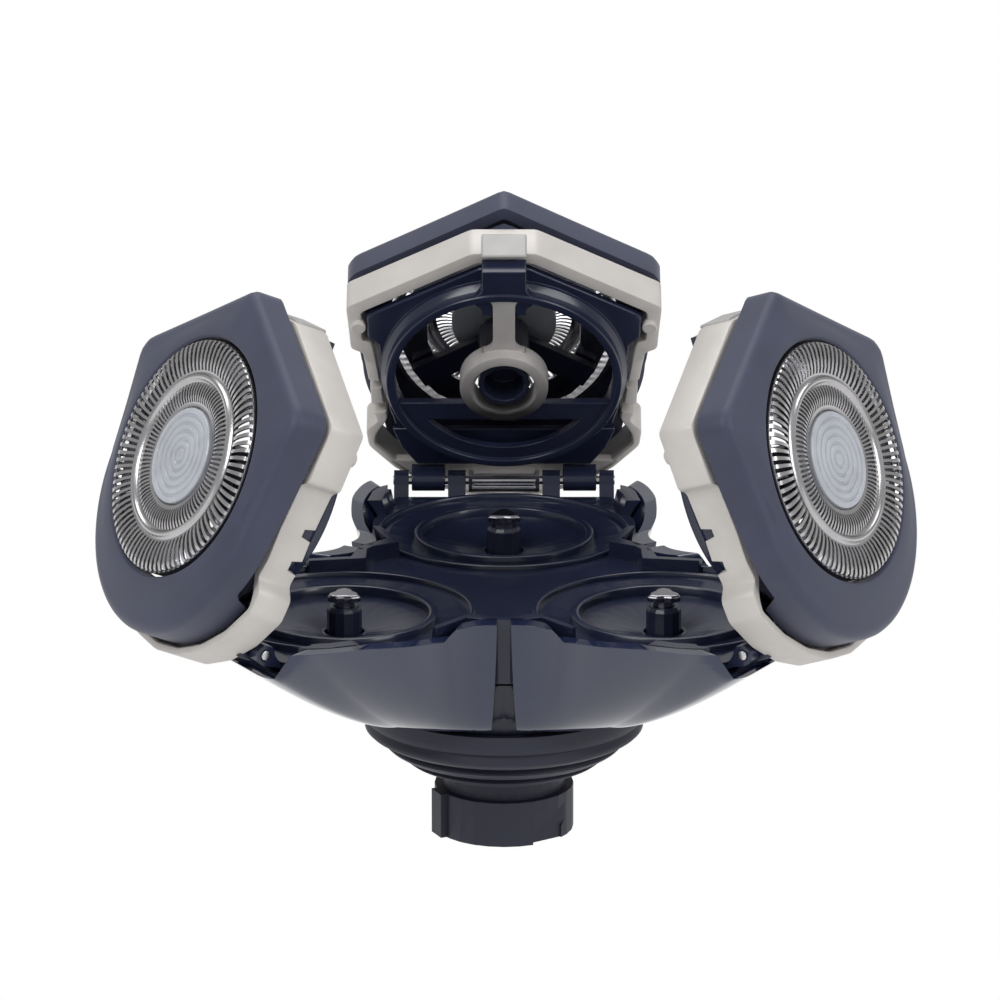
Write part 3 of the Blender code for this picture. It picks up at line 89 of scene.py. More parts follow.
def finish_material(name, color, roughness, metallic=0.0, coat=0.0, grain=4000.0, depth=0.04,
                    mottle=0.12, bevel=0.0001, sheen=0.0, painted_shade=None):
    """Procedural finish: mottled colour and roughness, a fine grain, and softened edges.

    Given a pair of heights, the colour darkens from the upper height down to the lower one: painted shade
    on the lower part of the piece.
    """
    made = bpy.data.materials.new(name)
    made.use_nodes = True
    tree = made.node_tree
    shader = tree.nodes["Principled BSDF"]
    shader.inputs["Metallic"].default_value = metallic
    shader.inputs["Coat Weight"].default_value = coat
    shader.inputs["Coat Roughness"].default_value = COAT_ROUGHNESS
    shader.inputs["Sheen Weight"].default_value = sheen
    place = tree.nodes.new("ShaderNodeTexCoord")
    patches = node(tree, "ShaderNodeTexNoise", Scale=PATCH_SCALE, Detail=4.0)
    tree.links.new(place.outputs["Object"], patches.inputs["Vector"])
    shade = tree.nodes.new("ShaderNodeValToRGB")
    shade.color_ramp.elements[0].position = 0.3
    shade.color_ramp.elements[1].position = 0.7
    shade.color_ramp.elements[0].color = (*[value * (1 - mottle) for value in color], 1.0)
    shade.color_ramp.elements[1].color = (*[min(value * (1 + mottle), 1.0) for value in color], 1.0)
    tree.links.new(patches.outputs["Fac"], shade.inputs["Fac"])
    tint = shade.outputs["Color"]
    # Painted shade: darken the colour towards the lower height
    if painted_shade:
        parts = tree.nodes.new("ShaderNodeSeparateXYZ")
        tree.links.new(place.outputs["Object"], parts.inputs["Vector"])
        level = node(tree, "ShaderNodeMapRange", From_Min=painted_shade[0], From_Max=painted_shade[1], To_Min=PAINTED_SHADE_DARKEST,
                     To_Max=1.0)
        tree.links.new(parts.outputs["Z"], level.inputs["Value"])
        painted_shading = node(tree, "ShaderNodeVectorMath")
        painted_shading.operation = "SCALE"
        tree.links.new(tint, painted_shading.inputs[0])
        tree.links.new(level.outputs["Result"], painted_shading.inputs["Scale"])
        tint = painted_shading.outputs["Vector"]
    tree.links.new(tint, shader.inputs["Base Color"])
    spread = node(tree, "ShaderNodeMapRange", To_Min=roughness * (1 - ROUGHNESS_SPREAD),
                  To_Max=min(roughness * (1 + ROUGHNESS_SPREAD), 1.0))
    tree.links.new(patches.outputs["Fac"], spread.inputs["Value"])
    tree.links.new(spread.outputs["Result"], shader.inputs["Roughness"])
    fine = node(tree, "ShaderNodeTexNoise", Scale=grain, Detail=2.0)
    tree.links.new(place.outputs["Object"], fine.inputs["Vector"])
    bump = node(tree, "ShaderNodeBump", Strength=depth, Distance=GRAIN_HEIGHT)
    tree.links.new(fine.outputs["Fac"], bump.inputs["Height"])
    if bevel:
        edge = node(tree, "ShaderNodeBevel", Radius=bevel)
        edge.samples = 4
        tree.links.new(edge.outputs["Normal"], bump.inputs["Normal"])
    tree.links.new(bump.outputs["Normal"], shader.inputs["Normal"])
    return made


LOOKS = {
    "soft_touch": finish_material("soft_touch", (0.030, 0.035, 0.070), 0.55, grain=9000.0, depth=0.10,
                                  sheen=0.15),
    "gloss_black": finish_material("gloss_black", (0.012, 0.018, 0.050), 0.07, coat=0.5, depth=0.0,
                                   mottle=0.05),
    "black_plastic": finish_material("black_plastic", (0.012, 0.015, 0.034), 0.30, depth=0.03),
    "rubber": finish_material("rubber", (0.012, 0.014, 0.030), 0.55, grain=6000.0, depth=0.06),
    "champagne": finish_material("champagne", (0.54, 0.515, 0.49), 0.50, metallic=0.2, grain=14000.0,
                                 depth=0.10, mottle=0.05),
    "steel": finish_material("steel", (0.62, 0.62, 0.65), 0.20, metallic=1.0, grain=3000.0, depth=0.02),
    "grey_plastic": finish_material("grey_plastic", (0.43, 0.45, 0.49), 0.30, metallic=0.1, depth=0.02),
    "gear_plastic": finish_material("gear_plastic", (0.62, 0.60, 0.54), 0.45, depth=0.03),
    "latch_steel": finish_material("latch_steel", (0.36, 0.355, 0.35), 0.45, grain=9000.0, depth=0.08),
    "tip_steel": finish_material("tip_steel", (0.36, 0.36, 0.39), 0.18, metallic=1.0, depth=0.02),
    # Hub: light grey as a painted reflection at its top, with painted shade darkening it towards the bottom
    "hub_painted_light": finish_material("hub_painted_light", (0.42, 0.40, 0.39), 0.30, depth=0.03, painted_shade=(0.0350, 0.0415)),
    "cap_steel": finish_material("cap_steel", (0.50, 0.49, 0.50), 0.26, metallic=1.0, bevel=0.0),
    "blade_steel": finish_material("blade_steel", (0.75, 0.76, 0.80), 0.22, metallic=1.0, bevel=0.0),
    "dark_plastic": finish_material("dark_plastic", (0.014, 0.018, 0.042), 0.20, depth=0.02),
}


# Mesh helpers

def add_piece(name, bm, body, look, smooth=None, replaces=()):
    """Make a piece from a bmesh, with its body, look and the nodes that it stands for."""
    bmesh.ops.recalc_face_normals(bm, faces=bm.faces)
    mesh = bpy.data.meshes.new(name)
    bm.to_mesh(mesh)
    bm.free()
    if smooth:
        mesh.shade_smooth()
        mesh.set_sharp_from_angle(angle=smooth)
    mesh.materials.append(LOOKS[look])
    piece = bpy.data.objects.new(name, mesh)
    bpy.context.collection.objects.link(piece)
    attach(piece, body)
    if replaces:
        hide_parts(*replaces)
    return piece


def loft(bm, loops, ring=False):
    """Skin loops of equal length, capped at both ends or closed into a ring."""
    rows = [[bm.verts.new(point) for point in loop] for loop in loops]
    pairs = list(zip(rows, rows[1:]))
    if ring:
        pairs.append((rows[-1], rows[0]))
    else:
        bm.faces.new(rows[0])
        bm.faces.new(rows[-1])
    for low, high in pairs:
        for here in range(len(low)):
            after = (here + 1) % len(low)
            bm.faces.new((low[here], low[after], high[after], high[here]))


def lathe(bm, profile, count, centre=(0.0, 0.0), ring=True):
    """Spin a closed profile of (radius, height) points, clear of its axis, about Z."""
    angles = [2 * pi * step / count for step in range(count)]
    directions = [(cos(a), sin(a)) for a in angles]
    loft(bm, [[(centre[0] + radius * x, centre[1] + radius * y, height) for x, y in directions]
              for radius, height in profile], ring)


def turned(bm, profile, count, centre=(0.0, 0.0)):
    """Spin an open profile with flat ends about Z."""
    lathe(bm, profile, count, centre, ring=False)


def mirrored(half):
    """Close an outline with the mirror image of its upper half."""
    return [*half, *[(x, -y) for x, y in reversed(half)]]


def prism(bm, outline, low, high):
    """Plate from an outline of (x, y) points between two heights."""
    loft(bm, [[(x, y, low) for x, y in outline], [(x, y, high) for x, y in outline]])


def soften(piece, width):
    """Round the sharp edges of a piece a little."""
    bevel = piece.modifiers.new("Bevel", "BEVEL")
    bevel.width = width
    bevel.segments = 2
    bevel.limit_method = "ANGLE"
    bevel.angle_limit = radians(40)


def smooth_profile(points, steps):
    """Round a list of 2-D points off with a spline through them."""
    result = []
    count = len(points)
    for i in range(count - 1):
        p0 = Vector(points[max(i - 1, 0)])
        p1 = Vector(points[i])
        p2 = Vector(points[i + 1])
        p3 = Vector(points[min(i + 2, count - 1)])
        for step in range(steps):
            t = step / steps
            result.append(tuple(0.5 * ((2 * p1) + (p2 - p0) * t + (2 * p0 - 5 * p1 + 4 * p2 - p3) * t * t
                                       + (3 * p1 - p0 - 3 * p2 + p3) * t ** 3)))
    result.append(tuple(points[-1]))
    return result


def lobe_matrix(azimuth):
    """Turn a lobe's own axes, X outward from the stem's axis, to its azimuth."""
    return Matrix.Rotation(azimuth, 4, "Z")


def holder_matrix(name):
    """Place of a holder's own axes: X from its hinge to its tip and Z out of its face."""
    azimuth, opening, _ = LOBES[name]
    return (lobe_matrix(azimuth) @ Matrix.Translation((HINGE_RADIUS, 0, HINGE_HEIGHT))
            @ Matrix.Rotation(pi, 4, "Z") @ Matrix.Rotation(-opening, 4, "Y"))


def face_matrix(name):
    """Place of a face's own axes, at the centre of its cap at the hinge's level."""
    tilt = LOBES[name][2]
    return (holder_matrix(name) @ Matrix.Translation((TILT_AXIS[0], 0, TILT_AXIS[1]))
            @ Matrix.Rotation(-tilt, 4, "Y")
            @ Matrix.Translation((FACE_CENTRE - TILT_AXIS[0], 0, -TILT_AXIS[1])))


def face_base(name):
    """Place of a holder's cap centre, in the plane of its hinge."""
    return holder_matrix(name) @ Matrix.Translation((FACE_CENTRE, 0, 0))


# Shaving caps

CAP_SLOTS = 90
SLOT_SHARE = 0.52
CAP_SHEET = 0.00022
CAP_RADIUS = 0.0115
SKIRT_RADIUS = CAP_RADIUS - 0.0004
CAP_LOW = 0.0066
CAP_PROFILE = (
    (0.01150, 0.00925, False), (0.01147, 0.00950, True), (0.01136, 0.00974, True), (0.01112, 0.00989, True),
    (0.01060, 0.00998, True), (0.00980, 0.00997, True), (0.00900, 0.00985, True), (0.00845, 0.00966, False),
    (0.00825, 0.00962, False), (0.00808, 0.00972, False), (0.00795, 0.00992, False),
    (0.00775, 0.00999, False), (0.00755, 0.00992, False), (0.00742, 0.00974, False),
    (0.00728, 0.00964, True), (0.00690, 0.00980, True), (0.00640, 0.00990, True), (0.00580, 0.00985, True),
    (0.00530, 0.00966, False), (0.00505, 0.00960, False), (0.00490, 0.00960, False),
)


def fine_cap(name):
    """Steel cap with two rows of fine radial slots and a plain raised ring between them."""
    shares = (0.0, SLOT_SHARE)
    columns = [2 * pi * (slot + share) / CAP_SLOTS for slot in range(CAP_SLOTS) for share in shares]
    top = [(r, h) for r, h, _ in CAP_PROFILE]
    is_slot = [slotted for _, _, slotted in CAP_PROFILE]
    count = len(top)
    below = [(r, h - CAP_SHEET) for r, h in reversed(top[1:])]
    skirt = [(SKIRT_RADIUS, top[0][1] - CAP_SHEET), (SKIRT_RADIUS, CAP_LOW), (CAP_RADIUS, CAP_LOW)]
    section = top + below + skirt
    total = len(section)
    bm = bmesh.new()
    grid = [[bm.verts.new((r * cos(a), r * sin(a), h)) for r, h in section] for a in columns]
    for column, here in enumerate(grid):
        after = grid[(column + 1) % len(grid)]
        cut = column % 2 == 0
        for row in range(total):
            following = (row + 1) % total
            if cut and row < count - 1 and is_slot[row]:
                low = 2 * count - 2 - row
                bm.faces.new((here[row], here[row + 1], here[low - 1], here[low]))
                bm.faces.new((after[row], after[row + 1], after[low - 1], after[low]))
                if not is_slot[row - 1]:
                    bm.faces.new((here[row], after[row], after[low], here[low]))
                if not is_slot[row + 1]:
                    bm.faces.new((here[row + 1], after[row + 1], after[low - 1], here[low - 1]))
            elif not (cut and count <= row < 2 * count - 2 and is_slot[2 * count - 3 - row]):
                bm.faces.new((here[row], after[row], after[following], here[following]))
    bm.transform(face_matrix(name))
    add_piece(f"{name}_slotted_cap", bm, f"{name}_face", "cap_steel", radians(30),
              (f"{name}_shaving_cap",))


DISC_TOP = 0.0099
DISC_EDGE = 0.0046
DISC_CENTRE = 0.0012
DISC_FLANGE = ((0.0053, 0.0084), (0.0053, 0.0089), (0.0047, 0.0089), (0.0047, DISC_TOP - 0.0001))
DISC_PITCH = 0.00080
DISC_GROOVE = ((0.00044, 0.0), (0.00052, 0.00014), (0.00072, 0.00014), (DISC_PITCH, 0.0))


def fine_disc(name):
    """Centre disc with plain concentric rings."""
    profile = [*DISC_FLANGE, (DISC_EDGE, DISC_TOP)]
    radius = DISC_EDGE
    while radius > DISC_CENTRE:
        profile += [(radius - inset, DISC_TOP - depth) for inset, depth in DISC_GROOVE]
        radius -= DISC_PITCH
    profile.append((radius - 0.0002, DISC_TOP))
    bm = bmesh.new()
    turned(bm, profile, 72)
    bm.transform(face_matrix(name))
    add_piece(f"{name}_ringed_disc", bm, f"{name}_face", "grey_plastic", radians(30),
              (f"{name}_cap_disc",))


# Face skins

SKIN_OUTLINE = ((0.0319, 0.0), (0.0310, 0.0016), (0.0234, 0.0151), (0.0222, 0.0158), (0.0168, 0.0150),
                (0.0118, 0.0144))
SKIN_ROUND_CENTRE = 0.0117
SKIN_ROUND_RADIUS = 0.0143
SKIN_BACK = 0.0054
SKIN_SLOPE = tan(radians(4))
SKIRT_START = -0.0101
SKIRT_BLEND = 0.0006
SKIRT_LOW = 0.0044
SKIN_COLUMNS = 180
SKIN_HOLE = CAP_RADIUS + 0.0003
SKIN_WALL = 0.0014
SKIN_UNDER = 0.0076
SKIN_EDGE = 0.0083
SKIN_ROLL = SKIN_EDGE - 0.0004
SKIN_ROLL_RISE = 0.0011
SKIN_ROLL_INSET = 0.0013
SKIN_ROLL_STEPS = 6
SKIN_SHOULDER = 0.0093
SKIN_CROWN = 0.0095
SKIN_END_STEPS = 40
SKIN_SPREAD = radians(1.2)
SPREAD_SHARES = (-1, -0.5, 0, 0.5, 1)


def polar_radius(points, side):
    """Distance from the origin to an outline of points in one direction."""
    for (x0, y0), (x1, y1) in zip(points, points[1:]):
        if atan2(y1, x1) >= side - 1e-9:
            break
    along = x0 * sin(side) - y0 * cos(side)
    across = (y1 - y0) * cos(side) - (x1 - x0) * sin(side)
    share = along / across
    return (x0 + share * (x1 - x0)) * cos(side) + (y0 + share * (y1 - y0)) * sin(side)


def skin_radius(angle):
    """Distance from the cap's centre to the skin's outline, with softly rounded corners."""
    turns = [pi / 2 + pi / 2 * step / SKIN_END_STEPS for step in range(SKIN_END_STEPS + 1)]
    end = [(SKIN_ROUND_CENTRE + SKIN_ROUND_RADIUS * cos(turn), SKIN_ROUND_RADIUS * sin(turn))
           for turn in turns]
    points = [(x - FACE_CENTRE, y) for x, y in (*SKIN_OUTLINE, *end)]
    samples = [polar_radius(points, min(abs(angle + SKIN_SPREAD * share), pi)) for share in SPREAD_SHARES]
    return sum(samples) / len(samples)


def fine_skin(name):
    """Soft-touch face: a crowned shell round the cap, cut back towards the hinge."""
    angles = [2 * pi * step / SKIN_COLUMNS - pi for step in range(SKIN_COLUMNS)]
    radii = [skin_radius(angle) for angle in angles]

    def loop(height, inset=0.0, fixed=None, share=None):
        points = []
        for angle, radius in zip(angles, radii):
            reach = fixed if fixed else radius - inset
            if share is not None:
                reach = SKIN_HOLE + (radius - SKIN_HOLE) * share
            points.append((reach * cos(angle), reach * sin(angle), height))
        return points

    def back(inset):
        lift = TILT_AXIS[0] - FACE_CENTRE
        points = []
        for x, y, _ in loop(0.0, inset):
            height = SKIN_BACK + max(lift - x, 0.0) * SKIN_SLOPE
            share = min(max((SKIRT_START - x) / SKIRT_BLEND, 0.0), 1.0)
            points.append((x, y, height + (SKIRT_LOW - height) * share))
        return points

    loops = [back(0.0), loop(SKIN_ROLL)]
    for step in range(1, SKIN_ROLL_STEPS + 1):
        turn = pi / 2 * step / SKIN_ROLL_STEPS
        loops.append(loop(SKIN_ROLL + SKIN_ROLL_RISE * sin(turn), SKIN_ROLL_INSET * (1 - cos(turn))))
    loops += [loop(SKIN_SHOULDER, share=0.45), loop(SKIN_CROWN, share=0.12),
              loop(SKIN_CROWN, fixed=SKIN_HOLE + 0.0002), loop(SKIN_SHOULDER, fixed=SKIN_HOLE),
              loop(SKIN_UNDER, fixed=SKIN_HOLE), loop(SKIN_UNDER, SKIN_WALL), back(SKIN_WALL)]
    bm = bmesh.new()
    loft(bm, loops, ring=True)
    bm.transform(face_matrix(name))
    add_piece(f"{name}_smooth_skin", bm, f"{name}_face", "soft_touch", radians(40),
              (f"{name}_face_skin",))


LINER_COLUMNS = 120
LINER_CLEAR = 0.0012
LINER_INSET = 0.0017
LINER_WALL = 0.0005
LINER_LOW = 0.0044
LINER_HIGH = 0.0059


def fine_liner(name):
    """Inner wall of the holder, seen in the gap that the face needs for its tilt."""
    angles = [2 * pi * step / LINER_COLUMNS - pi for step in range(LINER_COLUMNS)]
    outer = [max(skin_radius(angle) - LINER_INSET, CAP_RADIUS + LINER_CLEAR) for angle in angles]
    loops = [[((r - depth) * cos(a), (r - depth) * sin(a), height) for a, r in zip(angles, outer)]
             for depth, height in ((0.0, LINER_LOW), (0.0, LINER_HIGH), (LINER_WALL, LINER_HIGH),
                                   (LINER_WALL, LINER_LOW))]
    bm = bmesh.new()
    loft(bm, loops, ring=True)
    bm.transform(face_base(name))
    add_piece(f"{name}_inner_wall", bm, f"{name}_holder", "soft_touch", radians(40))


# Outer panels

SEAM_RADIUS = 0.0178
LOBE_OUTLINE = (
    (0.0330, 0.0), (0.0330, 0.0114), (0.0313, 0.0134), (0.0295, 0.0144), (0.0260, 0.0152),
    (0.0220, 0.0155), (0.0185, 0.0154), (0.0156, 0.0146), (0.0123, 0.0134),
)
RIM_HEIGHT = 0.0263
SIDE_RIM_HEIGHT = 0.0252
REAR_RIM_HEIGHT = 0.0238
RIM_STEPS = (
    (radians(21), REAR_RIM_HEIGHT), (radians(23.5), RIM_HEIGHT), (radians(32), RIM_HEIGHT),
    (radians(44), SIDE_RIM_HEIGHT), (radians(46.5), RIM_HEIGHT),
)
CROWN_START = radians(21)
CROWN_END = radians(26)
BOWL_FOOT = (0.0165, 0.0139)
BOWL_FOOT_SEAM = (0.0143, 0.0146)
PANEL_WALL = 0.0012
SEAM_ANGLE = radians(2.2)
SEAM_FLARE = 0.045
NECK_CLEAR = 0.0134
PANEL_COLUMNS = 232
PANEL_ROWS = 24
PANEL_FACING = 0.55
RIM_SPREAD = radians(1.6)
SEAM_SPREAD = radians(6)
SEAM_SPREAD_START = radians(36)
SEAM_SPREAD_SPAN = radians(9)


def rim_radius(angle):
    """Distance of the rim from the stem's axis, at an angle from the lobe's middle."""
    seam = (SEAM_RADIUS * cos(SECTOR), SEAM_RADIUS * sin(SECTOR))
    points = [*LOBE_OUTLINE, seam]
    share = min(max((abs(angle) - SEAM_SPREAD_START) / SEAM_SPREAD_SPAN, 0.0), 1.0)
    spread = RIM_SPREAD + SEAM_SPREAD * share
    sides = [abs(angle + spread * step / 5) for step in range(-5, 6)]
    samples = [polar_radius(points, min(side, 2 * SECTOR - side)) for side in sides]
    return sum(samples) / len(samples)


def rim_height(angle):
    """Height of the panel's upper edge, low behind the hinge and at the side cut-outs."""
    side = abs(angle)
    if side <= RIM_STEPS[0][0]:
        return RIM_STEPS[0][1]
    for (a0, z0), (a1, z1) in zip(RIM_STEPS, RIM_STEPS[1:]):
        if side <= a1:
            return z0 + (z1 - z0) * (side - a0) / (a1 - a0)
    return RIM_STEPS[-1][1]


def crown_height(angle):
    """Height at which the bowl reaches its full plan: low behind the hinge, then level with the rim."""
    share = min(max((abs(angle) - CROWN_START) / (CROWN_END - CROWN_START), 0.0), 1.0)
    return REAR_RIM_HEIGHT + (RIM_HEIGHT - REAR_RIM_HEIGHT) * share * share * (3 - 2 * share)


def foot_height(share):
    """Height of the bowl's foot, at a share of the way from the lobe's middle to its seam."""
    return BOWL_FOOT[1] + (BOWL_FOOT_SEAM[1] - BOWL_FOOT[1]) * share


def bowl_radius(angle, height):
    """Distance of the bowl from the stem's axis, straight up above its crown."""
    share = min(abs(angle) / SECTOR, 1.0)
    foot_radius = BOWL_FOOT[0] + (BOWL_FOOT_SEAM[0] - BOWL_FOOT[0]) * share
    foot = foot_height(share)
    rise = min(max((height - foot) / (crown_height(angle) - foot), 0.0), 1.0)
    return foot_radius + (rim_radius(angle) - foot_radius) * rise ** (0.8 - 0.2 * share)


def fine_panel(name):
    """Glossy outer shell of one lobe, with a smooth bowl and rounded edges."""
    end = SECTOR - SEAM_ANGLE
    columns = []
    for column in range(PANEL_COLUMNS + 1):
        angle = -end + 2 * end * column / PANEL_COLUMNS
        foot = foot_height(abs(angle) / SECTOR)
        rim = rim_height(angle)
        outside = []
        for row in range(PANEL_ROWS + 1):
            rise = row / PANEL_ROWS
            height = foot + (rim - foot) * rise ** 1.2
            turn = angle * (1 - SEAM_FLARE * (1 - rise) ** 1.5)
            outside.append((bowl_radius(turn, height), turn, height))
        inside = [(max(radius - PANEL_WALL / PANEL_FACING, NECK_CLEAR), turn, height)
                  for radius, turn, height in reversed(outside)]
        columns.append([(r * cos(turn), r * sin(turn), z) for r, turn, z in outside + inside])
    bm = bmesh.new()
    loft(bm, columns)
    bm.transform(lobe_matrix(LOBES[name][0]))
    add_piece(f"{name}_smooth_panel", bm, "head", "gloss_black", radians(40),
              (f"{name}_outer_panel",))


# Rubber sleeve: profiles of (radius, height from the datum)

BELLOWS_DATUM = 0.0112
BELLOWS_OUTER = (
    (0.0139, 0.0024), (0.0139, 0.0007), (0.0134, 0.0003), (0.0137, -0.0006), (0.0126, -0.0013),
    (0.0114, -0.0016), (0.0118, -0.0022), (0.0106, -0.0030), (0.0094, -0.0032),
    (0.0098, -0.0037), (0.0088, -0.0042), (0.0080, -0.0044), (0.0078, -0.0047),
)
BELLOWS_INNER = (
    (0.0070, -0.0047), (0.0070, -0.0040), (0.0085, -0.0030), (0.0108, -0.0008),
    (0.0131, 0.0003), (0.0131, 0.0024),
)


def fine_bellows():
    """Stepped rubber sleeve with rounded ribs."""
    profile = [*smooth_profile(BELLOWS_OUTER, 3), *BELLOWS_INNER]
    bm = bmesh.new()
    lathe(bm, [(radius, BELLOWS_DATUM + height) for radius, height in profile], 96)
    add_piece("ribbed_bellows", bm, "head", "rubber", radians(60), ("bellows",))


# Holder frames

FRAME_LOW = 0.00122
FRAME_HIGH = 0.00491
FRAME_ROUND_CENTRE = FACE_CENTRE - 0.00205
FRAME_ROUND_RADIUS = 0.0164
FRAME_END_WALL = 0.0008
FRAME_ARC_HALF = radians(57)
FRAME_ARC_PIECES = 8
FRAME_PIECE = 0.00025
FLOOR_STEPS = 48
FRAME_OUTER = (
    (0.01565, 0.00325), (0.00835, 0.0158), (0.00435, 0.0155), (0.00255, 0.0154), (0.00215, 0.0142),
    (-0.00265, 0.0135), (-0.00565, 0.0134), (-0.00755, 0.0128), (-0.00875, 0.0140),
)
FRAME_INNER = (
    (0.01425, 0.0027), (0.00755, 0.0143), (0.00375, 0.0142), (0.00355, 0.0132), (0.00085, 0.01285),
    (-0.00265, 0.01235), (-0.00565, 0.0120), (-0.00705, 0.0117), (-0.00925, 0.0129),
)
FRAME_ROUNDING = 3
FRAME_EDGE = 0.00015
FRAME_FLOOR = 0.0009
FRAME_FLOOR_EDGE = 0.0016
NOTCH_PLACES = (-0.00615, -0.00285)
NOTCH_WIDTH = 0.0012
NOTCH_DEPTH = 0.0011
BARREL_RADIUS = 0.0011
BARREL = (0.0060, 0.0094)
STUD_PLACE = (0.00585, 0.0146)
STUD_RADIUS = 0.00075
STUD_LENGTH = 0.0005


def frame_corners(half, radius):
    """Outline of a frame in its holder's axes: the given half, the round end and the mirrored half."""
    side = [(FACE_CENTRE + x, y) for x, y in half]
    start = pi - FRAME_ARC_HALF
    turn = 2 * FRAME_ARC_HALF / FRAME_ARC_PIECES
    end = [(FRAME_ROUND_CENTRE + radius * cos(start + turn * step), radius * sin(start + turn * step))
           for step in range(FRAME_ARC_PIECES + 1)]
    return [*side, *end, *[(x, -y) for x, y in reversed(side)]]


def short_pieces(corners):
    """Number of short pieces for each side of an outline."""
    return [max(2, round((Vector(corners[(i + 1) % len(corners)]) - Vector(corner)).length / FRAME_PIECE))
            for i, corner in enumerate(corners)]


def dense_outline(corners, steps):
    """Outline with each side split into its number of steps."""
    points = []
    for here, (x0, y0) in enumerate(corners):
        x1, y1 = corners[(here + 1) % len(corners)]
        for step in range(steps[here]):
            share = step / steps[here]
            points.append(Vector((x0 + (x1 - x0) * share, y0 + (y1 - y0) * share)))
    return points


def rounded(points, passes):
    """Round the corners of a dense closed outline by averaging neighbours."""
    for _ in range(passes):
        points = [(points[i - 1] + points[i] * 2 + points[(i + 1) % len(points)]) / 4
                  for i in range(len(points))]
    return points


def fine_frame(name):
    """Satin metal-look frame with softened corners and edges, floor and studs."""
    outside = frame_corners(FRAME_OUTER, FRAME_ROUND_RADIUS)
    inside = frame_corners(FRAME_INNER, FRAME_ROUND_RADIUS - FRAME_END_WALL)
    steps = short_pieces(outside)
    outer = rounded(dense_outline(outside, steps), FRAME_ROUNDING)
    inner = rounded(dense_outline(inside, steps), FRAME_ROUNDING)
    notches = [(FACE_CENTRE + place, FACE_CENTRE + place + NOTCH_WIDTH) for place in NOTCH_PLACES]

    def foot(point):
        return FRAME_LOW + (NOTCH_DEPTH if any(a < point.x < b for a, b in notches) else 0.0)

    def loop(depth_out, depth_in, rise, top):
        points = []
        for out, into in zip(outer, inner):
            wall = (into - out).length
            if depth_in is None:
                place = out.lerp(into, depth_out / wall)
            else:
                place = into.lerp(out, depth_in / wall)
            height = FRAME_HIGH - rise if top else foot(out) + rise
            points.append((place.x, place.y, height))
        return points

    edge = FRAME_EDGE
    corner = edge * 0.3
    loops = [loop(0.0, None, edge, False), loop(0.0, None, edge, True), loop(corner, None, corner, True),
             loop(edge, None, 0.0, True), loop(0.0, edge, 0.0, True), loop(0.0, 0.0, edge, True),
             loop(0.0, 0.0, edge, False), loop(0.0, edge, 0.0, False), loop(edge, None, 0.0, False),
             loop(corner, None, corner, False)]
    bm = bmesh.new()
    loft(bm, loops, ring=True)
    middle = FRAME_ROUND_RADIUS - FRAME_END_WALL / 2
    half = acos((FRAME_ROUND_CENTRE - FRAME_FLOOR_EDGE) / middle)
    turns = [pi - half + 2 * half * step / FLOOR_STEPS for step in range(FLOOR_STEPS + 1)]
    arc = [(FRAME_ROUND_CENTRE + middle * cos(turn), middle * sin(turn)) for turn in turns]
    prism(bm, arc, FRAME_LOW, FRAME_LOW + FRAME_FLOOR)
    for side in (-1, 1):
        centre = (FACE_CENTRE + STUD_PLACE[0], side * STUD_PLACE[1])
        low = FRAME_LOW - STUD_LENGTH
        turned(bm, ((STUD_RADIUS - 0.0001, low), (STUD_RADIUS, low + 0.0001),
                    (STUD_RADIUS, FRAME_LOW + 0.0003)), 24, centre)
    bm.transform(holder_matrix(name))
    add_piece(f"{name}_satin_frame", bm, f"{name}_holder", "champagne", radians(32),
              (f"{name}_holder_frame",))


# Hinge fittings

HINGE_PLATE = ((0.0016, 0.0088), (0.0040, 0.0104), (0.0066, 0.0113))
HINGE_PLATE_LOW = 0.0007
SLEEVE_RADIUS = 0.0007
SLEEVE_HALF = 0.0031
LOOP_RADIUS = 0.00095
LOOP_WIDTH = 0.0004


def fine_hinge(name):
    """Dark barrels and cover plate that hide the frame's end, and the clip's bright sleeve."""
    bm = bmesh.new()
    seat = FRAME_LOW + FRAME_FLOOR / 2
    barrel = [(BARREL_RADIUS, seat), (-BARREL_RADIUS, seat)]
    barrel += [(BARREL_RADIUS * cos(pi + pi * step / 16), BARREL_RADIUS * sin(pi + pi * step / 16))
               for step in range(17)]
    for start, end in (BARREL, (-BARREL[1], -BARREL[0])):
        loft(bm, [[(x, start, z) for x, z in barrel], [(x, end, z) for x, z in barrel]])
    prism(bm, mirrored(HINGE_PLATE), HINGE_PLATE_LOW, FRAME_LOW)
    bm.transform(holder_matrix(name))
    soften(add_piece(f"{name}_hinge_barrels", bm, f"{name}_holder", "dark_plastic", radians(32)), 0.0001)
    bm = bmesh.new()
    low, high = -SLEEVE_HALF, SLEEVE_HALF
    turned(bm, ((LOOP_RADIUS, low - LOOP_WIDTH), (LOOP_RADIUS, low), (SLEEVE_RADIUS, low),
                (SLEEVE_RADIUS, high), (LOOP_RADIUS, high), (LOOP_RADIUS, high + LOOP_WIDTH)), 32)
    bm.transform(lobe_matrix(LOBES[name][0]) @ Matrix.Translation((HINGE_RADIUS, 0, HINGE_HEIGHT))
                 @ Matrix.Rotation(-pi / 2, 4, "X"))
    add_piece(f"{name}_clip_sleeve", bm, "head", "steel", radians(32))


# Spindle springs

SPRING_WIRE = 0.00015
SPRING_TURNS = 4
SPRING_SIDES = 8
STEPS_A_TURN = 24


